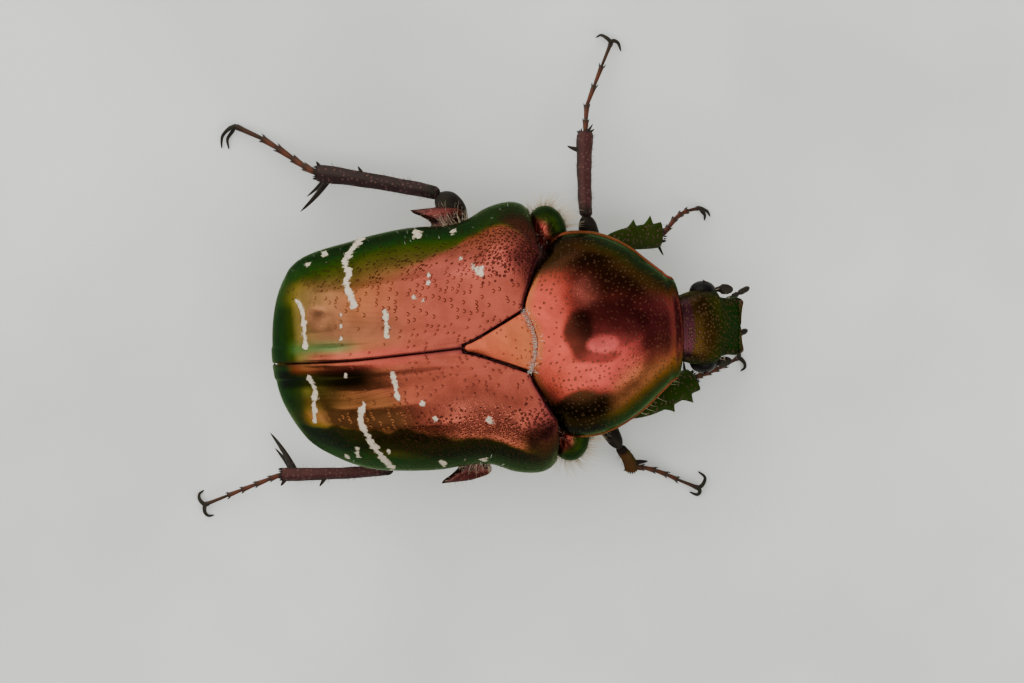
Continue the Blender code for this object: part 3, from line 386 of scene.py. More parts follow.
class ChaferUnderside(bpy.types.PropertyGroup):
    """Colours of the legs and the underside."""

    bronze: colour_property("Bronze", "Colour of the underside", (0.1, 0.03, 0.024))
    leg: colour_property("Legs", "Dark colour of the thighs and shins", (0.03, 0.017, 0.018))
    foot: colour_property("Feet", "Red-brown of the middle of each foot joint", (0.1, 0.028, 0.018))
    black: colour_property("Black horn", "Colour of feet, claws and feelers", (0.022, 0.016, 0.015))


class ChaferHair(bpy.types.PropertyGroup):
    """Size, number and colour of the hairs."""

    length: bpy.props.FloatProperty(
        name="Length", description="Longest hair, in metres", unit="LENGTH", default=0.0008, min=0.0001, max=0.002,
    )
    thickness: bpy.props.FloatProperty(
        name="Thickness", description="Radius of a hair at its root, in metres", unit="LENGTH", default=0.000011,
        min=0.000002, max=0.0001,
    )
    number: bpy.props.FloatProperty(
        name="Number", description="Hairs on each square millimetre of an ordinary coat", default=14.0, min=0.0,
        max=60.0,
    )
    colour: colour_property("Colour", "Colour of the hairs", (0.72, 0.6, 0.4))


class ChaferStage(bpy.types.PropertyGroup):
    """Floor and light."""

    floor: colour_property("Floor", "Colour of the floor", (0.78, 0.8, 0.77))
    key: bpy.props.FloatProperty(
        name="Key light", description="Strength that the lights share out, in watts", default=6.0, min=0, max=50,
    )
    sky: bpy.props.FloatProperty(
        name="Surround", description="Strength of the light from all round", default=0.12, min=0, max=5,
    )


def curve(stations, x):
    """Values at x of the smooth curve through (x, value) stations, held level past both ends."""
    xs, vs = np.array(stations, float).T
    before, after = np.r_[0, np.arange(len(xs) - 1)], np.r_[np.arange(1, len(xs)), len(xs) - 1]
    slopes = (vs[after] - vs[before]) / (xs[after] - xs[before])
    x = np.clip(np.asarray(x, float), xs[0], xs[-1])
    k = np.clip(np.searchsorted(xs, x, side="left") - 1, 0, len(xs) - 2)
    width = xs[k + 1] - xs[k]
    w = (x - xs[k]) / width
    return (
        (2 * w**3 - 3 * w**2 + 1) * vs[k] + (w**3 - 2 * w**2 + w) * slopes[k] * width
        + (3 * w**2 - 2 * w**3) * vs[k + 1] + (w**3 - w**2) * slopes[k + 1] * width
    )


def step(low, high, x):
    """A soft step from 0 at low to 1 at high."""
    w = np.clip((np.asarray(x, float) - low) / (high - low), 0, 1)
    return w * w * (3 - 2 * w)


def bell(x, middle, spread):
    """A soft bump of height 1."""
    return np.exp(-(((np.asarray(x, float) - middle) / spread) ** 2) / 2)


def dome(share, least=0.0):
    """How far a round end has opened: 0 at its tip, 1 from a share of 1 on."""
    return np.sqrt(np.clip(1 - (1 - np.clip(share, 0, 1)) ** 2, least, 1))


def ovals(x, y, patches, ragged=0.0, shown=1.0):
    """Layers of colour for paint, one for each oval patch. Ragged wears the edges, shown limits where they lie."""
    return [
        (colour, strength * step(*edge, np.hypot((x - at_x) / length, (y - at_y) / breadth) + ragged) * shown)
        for colour, strength, (at_x, at_y), (length, breadth), edge in patches
    ]


def rough(x, y, scale, seed=0):
    """Smooth seeded unevenness from -1 to 1, as a sum of slanted waves."""
    rng = np.random.default_rng(RNG_SEED + seed)
    total = np.zeros(np.broadcast(x, y).shape)
    for _ in range(7):
        angle, phase, pace = rng.uniform(0, 2 * math.pi), rng.uniform(0, 2 * math.pi), rng.uniform(0.6, 1.6)
        total += np.sin((x * math.cos(angle) + y * math.sin(angle)) * pace * scale + phase)
    return total / 4.0


def unit(v):
    """The same direction at length 1."""
    return v / np.maximum(np.linalg.norm(v, axis=-1, keepdims=True), 1e-12)


def grid_normals(points, wrap=False):
    """Unit normals of a grid of points, from the differences along its rows and columns."""
    along = np.gradient(points, axis=0)
    if wrap:
        across = (np.roll(points, -1, 1) - np.roll(points, 1, 1)) / 2
    else:
        across = np.gradient(points, axis=1)
    return unit(np.cross(along, across))


def facing_up(normals, row, column):
    """Normals turned over, where that is what makes the one at row and column point up."""
    return -normals if normals[row, column, 2] < 0 else normals


def grid_faces(rows, columns, wrap=False):
    """Quads of a grid of points, each as four point numbers."""
    i, j = np.meshgrid(np.arange(rows - 1), np.arange(columns if wrap else columns - 1), indexing="ij")
    a, b = i * columns + j, i * columns + (j + 1) % columns
    return np.stack((a, b, b + columns, a + columns), -1).reshape(-1, 4).tolist()


def run_lengths(points, axis):
    """How far each point of a grid lies along its row or column, in millimetres."""
    steps = np.linalg.norm(np.diff(points, axis=axis), axis=-1)
    zero = np.zeros_like(np.take(steps, [0], axis=axis))
    return np.concatenate((zero, np.cumsum(steps, axis=axis)), axis=axis)


def grid_values(points, values):
    """A row of values for each point of a grid, with its place on the surface in millimetres and in shares."""
    rows, columns = points.shape[:2]
    held = {
        "flat": np.stack((run_lengths(points, 0), run_lengths(points, 1), np.zeros((rows, columns))), -1),
        "root_uv": np.stack(np.meshgrid(np.linspace(0, 1, rows), np.linspace(0, 1, columns), indexing="ij"), -1),
        **{key: np.asarray(value, float) for key, value in values.items()},
    }
    for key, value in held.items():
        if value.shape[:2] != (rows, columns):
            value = np.broadcast_to(value, (rows, columns, value.size))
        held[key] = value.reshape(rows * columns, -1)
    return held


# How a mesh keeps one, two, three or four numbers for each point.
ATTRIBUTE_KINDS = {
    1: ("FLOAT", "value"), 2: ("FLOAT2", "vector"), 3: ("FLOAT_VECTOR", "vector"), 4: ("FLOAT_COLOR", "color"),
}


class Solid:
    """Closed pieces gathered into one mesh, with values kept for each point."""

    def __init__(self):
        self.points, self.faces, self.values, self.count = [], [], {}, 0

    def add(self, points, faces, values):
        """Adds one closed piece. Earlier values that it doesn't have are zero on it."""
        self.faces += [[k + self.count for k in face] for face in faces]
        for key in {**self.values, **values}:
            held = self.values.setdefault(key, [])
            held.append(values[key] if key in values else np.zeros((len(points), held[0].shape[1])))
        self.points.append(points)
        self.count += len(points)
        return self

    def loft(self, rings, **values):
        """Rings of points with a fan over each end. A value is one for all the points or one for each."""
        rows, sides = rings.shape[:2]
        faces = grid_faces(rows, sides, wrap=True)
        for row, end in ((0, rows * sides), ((rows - 1) * sides, rows * sides + 1)):
            faces += [[row + k, row + (k + 1) % sides, end] for k in range(sides)]
        points = np.vstack((rings.reshape(-1, 3), rings[0].mean(0), rings[-1].mean(0)))
        held = {key: np.vstack((v, v[0], v[-1])) for key, v in grid_values(rings, values).items()}
        return self.add(points, faces, held)

    def shell(self, top, thickness, **values):
        """A grid of points as the upper side of a closed plate."""
        rows, columns = top.shape[:2]
        normals = facing_up(grid_normals(top), rows // 2, columns // 2)
        points = np.vstack((top.reshape(-1, 3), (top - normals * thickness).reshape(-1, 3)))
        faces = grid_faces(rows, columns)
        count = rows * columns
        faces += [[k + count for k in reversed(face)] for face in faces]
        rim = list(range(columns)) + [i * columns + columns - 1 for i in range(1, rows)]
        rim += [(rows - 1) * columns + j for j in range(columns - 2, -1, -1)]
        rim += [i * columns for i in range(rows - 2, 0, -1)]
        faces += [[b, a, a + count, b + count] for a, b in zip(rim, rim[1:] + rim[:1])]
        held = {key: np.vstack((v, v)) for key, v in grid_values(top, values).items()}
        return self.add(points, faces, held)

    def move(self, matrix):
        """Moves every piece by a 4 by 4 matrix."""
        m = np.array(matrix)
        self.points = [p @ m[:3, :3].T + m[:3, 3] for p in self.points]

    def mirror(self):
        """Turns a piece of the left side into the right side's."""
        self.points = [p * (1, -1, 1) for p in self.points]

    def finish(self, name, material, nodes, slot):
        """Makes the object in metres, rides it on the body and lets it stand for its nodes."""
        mesh = bpy.data.meshes.new(name)
        mesh.from_pydata(((np.vstack(self.points) - ORIGIN) * MM).tolist(), [], self.faces)
        for key, held in self.values.items():
            data = np.vstack(held)
            kind, field = ATTRIBUTE_KINDS[data.shape[1]]
            mesh.attributes.new(key, kind, "POINT").data.foreach_set(field, data.ravel().astype(np.float32))
        work = bmesh.new()
        work.from_mesh(mesh)
        bmesh.ops.recalc_face_normals(work, faces=work.faces)
        if work.calc_volume(signed=True) < 0:
            bmesh.ops.reverse_faces(work, faces=work.faces)
        work.to_mesh(mesh)
        work.free()
        mesh.shade_smooth()
        mesh.set_sharp_from_angle(angle=SHARP_ANGLE)
        obj = bpy.data.objects.new(name, mesh)
        bpy.context.scene.collection.objects.link(obj)
        mesh.materials.append(material)
        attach(obj, BODY)
        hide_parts(*nodes)


def columns_at(table, at):
    """The smooth values at the places in `at` of each column of a table that starts with a column of places."""
    table = np.array(table, float)
    return [curve(table[:, (0, k)], at) for k in range(1, table.shape[1])]


def smooth_path(points, count):
    """Places along a smooth curve through points, at even shares between them."""
    points = np.array(points, float)
    runs = np.r_[0, np.cumsum(np.linalg.norm(np.diff(points, axis=0), axis=1))]
    at = np.linspace(0, runs[-1], count)
    return np.stack(columns_at(np.column_stack((runs, points)), at), -1)


def tube_rings(path, half_widths, half_depths, broad, sides):
    """Oval rings along a path. The wider axis leans towards broad."""
    ahead = unit(np.gradient(path, axis=0))
    broad = np.asarray(broad, float)
    across = unit(broad - ahead * (ahead @ broad)[:, None])
    up = np.cross(ahead, across)
    turn = np.linspace(0, 2 * math.pi, sides, endpoint=False)
    return (
        path[:, None, :] + across[:, None, :] * (np.cos(turn)[None, :, None] * half_widths[:, None, None])
        + up[:, None, :] * (np.sin(turn)[None, :, None] * half_depths[:, None, None])
    )


def rounded(count, start, end):
    """Shares along a limb that crowd towards its ends, and how far each ring is drawn in there."""
    share = (1 - np.cos(np.linspace(0, math.pi, count))) / 2
    return share, dome(share / start, 0.0004) * dome((1 - share) / end, 0.0004)


def thorn(solid, root, tip, radius, bend=(0, 0, 0), sides=10, count=12, **values):
    """A spur or bristle: round in section, bent and tapering to a point."""
    root, tip, bend = (np.array(v, float) for v in (root, tip, bend))
    share = np.linspace(0, 1, count)
    path = root + (tip - root) * share[:, None] + bend * (4 * share * (1 - share))[:, None]
    radii = radius * np.clip(1 - share, 0, 1) ** 0.6 + 0.012
    side = (0.13, 0.21, 0.97) if abs(unit(tip - root)[2]) < 0.9 else (0.97, 0.21, 0.13)
    solid.loft(tube_rings(path, radii, radii, side, sides), **values)


def ball_rings(centre, radii, rows, sides):
    """Rings of a stretched ball, from its lowest to its highest point."""
    lift = np.linspace(-math.pi / 2 + POLE_GAP, math.pi / 2 - POLE_GAP, rows)
    turn = np.linspace(0, 2 * math.pi, sides, endpoint=False)
    ring = np.stack((
        np.cos(lift)[:, None] * np.cos(turn) * radii[0], np.cos(lift)[:, None] * np.sin(turn) * radii[1],
        np.repeat(np.sin(lift)[:, None] * radii[2], sides, 1),
    ), -1)
    return ring + np.array(centre)


def paint(shape, base, *layers):
    """A colour for each point: base, covered by each (colour, mask) in turn."""
    colour = np.ones(shape + (4,))
    colour[..., :3] = base
    for layer, mask in layers:
        mask = np.clip(np.broadcast_to(mask, shape), 0, 1)[..., None]
        colour[..., :3] = colour[..., :3] * (1 - mask) + np.array(layer) * mask
    return colour


def pronotum_rear_x(y):
    """The pronotum's rear edge in its own turned frame, where it laps over the wing cases."""
    along = np.linspace(-3.6, 3.6, 145)
    line = np.stack((curve(PRONOTUM_REAR, np.abs(along)) - PRONOTUM_LAP, along, 0 * along, 1 + 0 * along))
    line = np.array(prothorax_matrix().inverted()) @ line
    own = curve(PRONOTUM_REAR, np.minimum(np.abs(y), 2.95))
    return own + (np.interp(y, line[1], line[0]) - own) * step(3.3, 2.6, np.abs(y))


def prothorax_matrix():
    """How the prothorax is turned to the beetle's right."""
    return (
        Matrix.Translation(PROTHORAX_PIVOT) @ Matrix.Rotation(PROTHORAX_TURN, 4, "Z")
        @ Matrix.Translation(-PROTHORAX_PIVOT)
    )


def head_matrix():
    """How the head is set on the turned prothorax and bent down."""
    return (
        prothorax_matrix() @ Matrix.Translation(HEAD_NECK) @ Matrix.Rotation(HEAD_TURN, 4, "Z")
        @ Matrix.Rotation(HEAD_PITCH, 4, "Y")
    )


def node_group(name, numbers, results):
    """An empty shader group that takes a vector and numbers, each with its default, and gives results.

    With it come its inputs' sockets and its end node, or nothing where the group is there already.
    """
    if name in bpy.data.node_groups:
        return bpy.data.node_groups[name], None, None
    group = bpy.data.node_groups.new(name, "ShaderNodeTree")
    group.interface.new_socket("Vector", in_out="INPUT", socket_type="NodeSocketVector")
    for label, default in numbers.items():
        socket = group.interface.new_socket(label, in_out="INPUT", socket_type="NodeSocketFloat")
        socket.default_value = default
    for label in results:
        group.interface.new_socket(label, in_out="OUTPUT", socket_type="NodeSocketFloat")
    return group, group.nodes.new("NodeGroupInput").outputs, group.nodes.new("NodeGroupOutput")


def wire(tree, kind, inputs=None, **settings):
    """Adds a node, with its settings, and links or sets its inputs by number or name."""
    node = tree.nodes.new(kind)
    for key, value in settings.items():
        setattr(node, key, value)
    for key, value in (inputs or {}).items():
        if isinstance(value, bpy.types.NodeSocket):
            tree.links.new(value, node.inputs[key])
        else:
            node.inputs[key].default_value = value
    return node


def maths(tree, operation, *values):
    """The result socket of a Math node."""
    return wire(tree, "ShaderNodeMath", dict(enumerate(values)), operation=operation).outputs[0]


def between(tree, value, low, high, to_low=0.0, to_high=1.0):
    """The result socket of a soft Map Range node."""
    return wire(
        tree, "ShaderNodeMapRange", {0: value, 1: low, 2: high, 3: to_low, 4: to_high},
        interpolation_type="SMOOTHSTEP",
    ).outputs[0]


def mix_colour(tree, factor, a, b):
    """The colour socket of a Mix node."""
    a, b = (c if isinstance(c, bpy.types.NodeSocket) else (*c, 1.0) for c in (a, b))
    return wire(tree, "ShaderNodeMix", {0: factor, 6: a, 7: b}, data_type="RGBA").outputs[2]


def cells_with_colours(group, given, randomness):
    """The cells in which pits lie, and the random numbers that each cell has."""
    inputs = {"Vector": given["Vector"], "Scale": given["Scale"], "Randomness": randomness}
    cells = wire(group, "ShaderNodeTexVoronoi", inputs, voronoi_dimensions="2D", feature="F1")
    return cells, wire(group, "ShaderNodeSeparateColor", {0: cells.outputs["Color"]})


def pits_group():
    """Round pits: a mask of soft dots, one in some of the cells."""
    group, given, end = node_group("Round pits", {"Scale": 4.0, "Radius": 0.25, "Share": 0.5}, ("Mask",))
    if given:
        cells, colour = cells_with_colours(group, given, 0.85)
        size = maths(group, "MULTIPLY_ADD", colour.outputs[1], 0.5, 0.7)
        radius = maths(group, "MULTIPLY", given["Radius"], size)
        inner = maths(group, "MULTIPLY", radius, 0.45)
        dot = between(group, cells.outputs["Distance"], inner, radius, 1.0, 0.0)
        kept = maths(group, "LESS_THAN", colour.outputs[0], given["Share"])
        group.links.new(maths(group, "MULTIPLY", dot, kept), end.inputs["Mask"])
    return group


def horseshoe_group():
    """Horseshoe pits: a mask of short arcs, open towards the tail, one in some of the cells."""
    numbers = {"Scale": 2.5, "Radius": 0.25, "Width": 0.1, "Share": 0.5}
    group, given, end = node_group("Horseshoe pits", numbers, ("Mask",))
    if given:
        cells, colour = cells_with_colours(group, given, 0.8)
        offset = wire(group, "ShaderNodeVectorMath", {0: given["Vector"], 1: cells.outputs["Position"]},
                      operation="SUBTRACT").outputs[0]
        parts = wire(group, "ShaderNodeSeparateXYZ", {0: offset})
        ahead = maths(group, "MULTIPLY", parts.outputs[0], given["Scale"])
        off_ring = maths(group, "SUBTRACT", cells.outputs["Distance"], given["Radius"])
        off_ring = maths(group, "ABSOLUTE", off_ring)
        ring = between(group, off_ring, 0.0, given["Width"], 1.0, 0.0)
        gap = maths(group, "DIVIDE", ahead, given["Radius"])
        open_side = between(group, gap, -0.55, -0.15, 0.0, 1.0)
        kept = maths(group, "LESS_THAN", colour.outputs[0], given["Share"])
        mask = maths(group, "MULTIPLY", maths(group, "MULTIPLY", ring, open_side), kept)
        group.links.new(mask, end.inputs["Mask"])
    return group


def grain_group():
    """Fine grain of horn: a height with soft blotches and a fine net."""
    group, given, end = node_group("Horn grain", {"Scale": 20.0}, ("Height", "Blotch"))
    if given:
        fine = wire(group, "ShaderNodeTexNoise", {"Vector": given["Vector"], "Scale": given["Scale"],
                    "Detail": 3.0, "Roughness": 0.6})
        slow = maths(group, "MULTIPLY", given["Scale"], 0.06)
        broad = wire(group, "ShaderNodeTexNoise", {"Vector": given["Vector"], "Scale": slow, "Detail": 3.0})
        group.links.new(fine.outputs[0], end.inputs["Height"])
        group.links.new(broad.outputs[0], end.inputs["Blotch"])
    return group


def group_node(tree, group, inputs):
    """A shader group placed in a material."""
    return wire(tree, "ShaderNodeGroup", inputs, node_tree=group)


def attribute(tree, name, socket="Fac"):
    """A value, colour or vector that the mesh keeps for each point."""
    return wire(tree, "ShaderNodeAttribute", attribute_name=name, attribute_type="GEOMETRY").outputs[socket]


def shell_material(
    name, pit_scale, pit_depth, roughness, shoe_scale=0.0, pit_radius=0.26, pit_shading=0.65, shoe_radius=0.24,
    shoe_depth=0.02, shoe_shading=0.5, metallic=0.92, patterned=False, specular=0.5, dot=(0.03, 0.012, 0.012),
):
    """Horn whose colour and pits follow the values kept on the mesh. Depths are in millimetres.

    A scale is how many pits or horseshoes lie along a millimetre. Patterned adds fine lines and pale marks.
    """
    made = bpy.data.materials.new(name)
    made.use_nodes = True
    tree = made.node_tree
    shader = tree.nodes["Principled BSDF"]
    flat = attribute(tree, "flat", "Vector")
    colour = attribute(tree, "tint", "Color")
    pits = group_node(tree, pits_group(), {"Vector": flat, "Scale": pit_scale, "Radius": pit_radius,
                      "Share": attribute(tree, "pits")})
    texture = group_node(tree, grain_group(), {"Vector": flat, "Scale": GRAIN_SCALE})
    blotch = between(tree, texture.outputs["Blotch"], 0.3, 0.7, 0.86, 1.12)
    colour = wire(tree, "ShaderNodeVectorMath", {0: colour, 3: blotch}, operation="SCALE").outputs[0]
    # Pits, horseshoes and fine lines are mixed towards the dot colour: painted shade in these hollows where it is
    # darker than the plate, and painted glints in them where it is lighter.
    dark = maths(tree, "MULTIPLY", pits.outputs["Mask"], pit_shading)
    height = maths(tree, "MULTIPLY", pits.outputs["Mask"], -pit_depth)
    if shoe_scale:
        shoes = group_node(tree, horseshoe_group(), {"Vector": flat, "Scale": shoe_scale, "Radius": shoe_radius,
                           "Width": 0.09, "Share": attribute(tree, "shoes")})
        dark = maths(tree, "MAXIMUM", dark, maths(tree, "MULTIPLY", shoes.outputs["Mask"], shoe_shading))
        height = maths(tree, "MULTIPLY_ADD", shoes.outputs["Mask"], -shoe_depth, height)
    if patterned:
        parts = wire(tree, "ShaderNodeSeparateXYZ", {0: flat})
        wobble = maths(tree, "MULTIPLY", parts.outputs[1], STRIAE_PACE)
        wobble = maths(tree, "ADD", texture.outputs["Blotch"], wobble)
        line = between(tree, maths(tree, "SINE", wobble), 0.5, 1.0)
        line = maths(tree, "MULTIPLY", line, attribute(tree, "striae"))
        broken = between(tree, texture.outputs["Height"], 0.42, 0.55)
        line = maths(tree, "MULTIPLY", line, broken)
        dark = maths(tree, "MAXIMUM", dark, maths(tree, "MULTIPLY", line, 0.22))
        height = maths(tree, "MULTIPLY_ADD", line, -0.002, height)
    height = maths(tree, "MULTIPLY_ADD", texture.outputs["Height"], GRAIN_DEPTH, height)
    # Mixes in the painted shade and glints of the hollows.
    colour = mix_colour(tree, dark, colour, dot)
    dull = maths(tree, "MULTIPLY_ADD", texture.outputs["Blotch"], 0.1, roughness - 0.05)
    shader.inputs["Metallic"].default_value = metallic
    if patterned:
        uneven = wire(tree, "ShaderNodeTexNoise", {"Vector": flat, "Scale": 14.0, "Detail": 2.0}).outputs[0]
        waves = wire(tree, "ShaderNodeTexNoise", {"Vector": flat, "Scale": 3.6, "Detail": 1.0}).outputs[0]
        edge = maths(tree, "MULTIPLY_ADD", maths(tree, "SUBTRACT", uneven, 0.5), 0.16, attribute(tree, "mark"))
        edge = maths(tree, "MULTIPLY_ADD", maths(tree, "SUBTRACT", waves, 0.48), 0.3, edge)
        chalk = between(tree, edge, -0.035, 0.025, 1.0, 0.0)
        speckle = wire(tree, "ShaderNodeTexNoise", {"Vector": flat, "Scale": 40.0, "Detail": 2.0}).outputs[0]
        chalky = bpy.context.scene.chafer_shell.mark
        pale = mix_colour(tree, between(tree, speckle, 0.35, 0.7), [c * 0.72 for c in chalky], chalky)
        colour = mix_colour(tree, chalk, colour, pale)
        metal = maths(tree, "MULTIPLY", maths(tree, "SUBTRACT", 1.0, chalk), metallic)
        tree.links.new(metal, shader.inputs["Metallic"])
        dull = maths(tree, "MAXIMUM", dull, maths(tree, "MULTIPLY", chalk, 0.75))
        height = maths(tree, "MULTIPLY_ADD", chalk, MARK_RISE, height)
    tree.links.new(colour, shader.inputs["Base Color"])
    tree.links.new(dull, shader.inputs["Roughness"])
    bump = wire(tree, "ShaderNodeBump", {"Strength": 1.0, "Distance": MM, "Height": height})
    tree.links.new(bump.outputs[0], shader.inputs["Normal"])
    shader.inputs["Specular IOR Level"].default_value = specular
    shader.inputs["Specular Tint"].default_value = (*GREEN_SHEEN, 1.0)
    return made


def plain_material(name, colour, roughness, grain=0.0, grain_scale=6000.0, specular=0.5):
    """A finish of one colour with fine grain from the object's own coordinates."""
    made = bpy.data.materials.new(name)
    made.use_nodes = True
    tree = made.node_tree
    shader = tree.nodes["Principled BSDF"]
    place = wire(tree, "ShaderNodeTexCoord").outputs["Object"]
    texture = group_node(tree, grain_group(), {"Vector": place, "Scale": grain_scale})
    shade = between(tree, texture.outputs["Blotch"], 0.3, 0.7, 0.85, 1.1)
    base = wire(tree, "ShaderNodeVectorMath", {0: (*colour,), 3: shade}, operation="SCALE").outputs[0]
    tree.links.new(base, shader.inputs["Base Color"])
    shader.inputs["Roughness"].default_value = roughness
    shader.inputs["Specular IOR Level"].default_value = specular
    if grain:
        height = maths(tree, "MULTIPLY", texture.outputs["Height"], grain)
        bump = wire(tree, "ShaderNodeBump", {"Strength": 1.0, "Distance": MM, "Height": height})
        tree.links.new(bump.outputs[0], shader.inputs["Normal"])
    return made


# Elytra


def elytra_front_x(y):
    """The front edge of an elytron: along the scutellum, then along the pronotum to the shoulder."""
    beside = np.sqrt(np.maximum((y - SCUTELLUM_SEAM) ** 2 - SCUTELLUM_TIP_RADIUS**2, 0.0))
    follow = curve(PRONOTUM_REAR, y) - ELYTRA_LAP
    rounding = np.maximum(y - SHOULDER_BEND_Y, 0.0) / (ELYTRA_SHOULDER_Y - SHOULDER_BEND_Y)
    outer = np.minimum(follow, ELYTRA_FRONT_X) - (ELYTRA_FRONT_X - ELYTRA_SHOULDER_X) * rounding**2
    return np.minimum(beside / SCUTELLUM_HALF_WIDTH * SCUTELLUM_LENGTH - SCUTELLUM_SEAM, outer)


def elytron_grid(rows, columns):
    """The left elytron's upper side with its relief, and how far along and across it each point lies."""
    s = (1 - np.cos(math.pi / 2 * np.linspace(0, 1, rows)))[:, None] * np.ones((1, columns))
    s = 0.5 * s + 0.5 * np.linspace(0, 1, rows)[:, None]
    t = 0.5 * np.sin(math.pi / 2 * np.linspace(0, 1, columns)) + 0.5 * np.linspace(0, 1, columns)
    t = np.ones((rows, 1)) * t[None, :]
    edge_x = ELYTRA_CORNER_X + (ELYTRA_SHOULDER_X - ELYTRA_CORNER_X) * s
    half_gap = ELYTRA_SEAM / 2
    y = half_gap + t * (curve(ELYTRA_HALF_WIDTH, edge_x) - half_gap)
    rear = ELYTRA_REAR_X + (ELYTRA_CORNER_X - ELYTRA_REAR_X) * t**ELYTRA_REAR_POWER
    x = rear + (elytra_front_x(t * ELYTRA_SHOULDER_Y) - rear) * s
    slope = np.maximum(0.0, (ELYTRA_SLOPE_START - s) / ELYTRA_SLOPE_START)
    along = (1 - slope ** ELYTRA_SLOPE_POWERS[0]) ** (1 / ELYTRA_SLOPE_POWERS[1])
    across = (1 - t ** ELYTRA_SIDE_POWERS[0]) ** (1 / ELYTRA_SIDE_POWERS[1])
    edge = curve(ELYTRA_EDGE_HEIGHT, s)
    rise = along * across
    z = edge + (ELYTRA_CROWN_HEIGHT - edge) * rise
    for at_x, at_y, spread, height in (SHOULDER_KNOB, REAR_KNOB):
        z += height * np.exp(-((x - at_x) ** 2 + (y - at_y) ** 2) / (2 * spread**2)) * np.minimum(1.0, rise * 2)
    at_x, at_y, length, breadth, depth = SUTURE_TROUGH
    z -= depth * np.exp(-((x - at_x) / length) ** 2 / 2 - ((y - at_y) / breadth) ** 2 / 2)
    points = np.stack((x, y, z), -1)
    normals = facing_up(grid_normals(points), rows // 2, columns // 2)
    relief = SUTURE_RIDGE_HEIGHT * step(SUTURE_RIDGE_Y + 0.09, SUTURE_RIDGE_Y - 0.07, y) * step(-0.2, -2.2, x)
    disc_rib = bell(y, DISC_RIB_Y + 0.05 * (x + 4), 0.16) * step(0.0, -1.4, x) * step(-6.6, -5.4, x)
    inner_rib = bell(y, INNER_RIB_Y, 0.12) * step(-1.0, -2.2, x) * step(-6.0, -5.0, x)
    relief += DISC_RIB_HEIGHT * disc_rib + INNER_RIB_HEIGHT * inner_rib
    # How far, about, from the seam, the front edge and the rear edge.
    for distance, radius in zip((y - half_gap, (1 - s) * 10.0, s * 9.0), ELYTRA_EDGE_RADII):
        relief -= radius * (1 - dome(distance / radius))
    from_side = (1 - t) * curve(ELYTRA_HALF_WIDTH, edge_x)
    relief += SIDE_BEAD_HEIGHT * bell(from_side, 0.0, 0.12) * step(0.0, 0.1, s)
    relief += ELYTRA_UNEVENNESS * rough(x, y, 1.1, 3) * step(0.0, 0.4, rise)
    return points + normals * relief[..., None], s, t


def mark_distance(points, marks):
    """How far each point lies outside the nearest pale mark, seen from above."""
    flat = points[..., :2]
    nearest = np.full(points.shape[:2], 9.0)
    for places, half in marks:
        places = np.array(places)
        for a, b in zip(places[:-1], places[1:]):
            along = b - a
            share = np.clip(((flat - a) @ along) / (along @ along), 0, 1)
            gap = np.linalg.norm(flat - (a + share[..., None] * along), axis=-1)
            nearest = np.minimum(nearest, gap - half)
    return nearest


def lean(points):
    """Moves the tail end of the wing cases a little to the left, most of all at their outer edges."""
    x, y = points[..., 0], points[..., 1]
    moved = np.array(points)
    moved[..., 1] += 0.32 * step(-3.8, -6.6, x) * (0.3 + 0.7 * step(0.5, 2.6, np.abs(y)))
    return moved


def left_case_washes(colours, x, y, t, waver):
    """The left wing case's own colours: a painted shadow by the shoulder, its copper brightened as painted light as
    far as the lit edge goes with plum beyond it as painted shade, tan towards the tail, a painted highlight near
    the tail, and the dark tail.
    """
    past_lit_edge = y - curve(LEFT_LIT_EDGE, x) + 0.05 * rough(x, y, 6.0, 8)
    return [
        # A painted shadow by the left shoulder.
        (SHOULDER_SHADOW_BROWN, 0.3 * bell(t, 0.75, 0.09) * step(2.6, 1.0, x)),
        # Copper brightened up to the lit edge: painted light.
        (LIT_COPPER_HIGHLIGHT, 0.85 * step(0.14, -0.1, past_lit_edge) * step(2.0, 3.2, y) * step(-2.6, -0.6, x)),
        (TAN, 0.6 * step(-3.8, -4.8, x) * step(-6.2, -5.6, x) * step(3.2, 2.6, y)),
        (STRAW, 0.65 * bell(x, -5.95, 0.35) * step(3.0, 2.5, y)),
        (BROWN, 0.6 * bell(y, 1.1, 0.4) * step(-1.8, -3.0, x) * step(-6.0, -5.4, x)),
        # A painted highlight near the tail.
        *ovals(x, y, LEFT_TAIL_HIGHLIGHT),
        (DARK_GREEN, 0.85 * step(-6.15, -6.5, x + 0.12 * waver) * step(2.4, 1.8, y)),
        # Plum beyond the lit edge at the front: painted shade.
        (np.array(colours.plum) * 0.6, 0.8 * step(0.0, 0.2, past_lit_edge) * step(1.4, 2.3, x)),
    ]


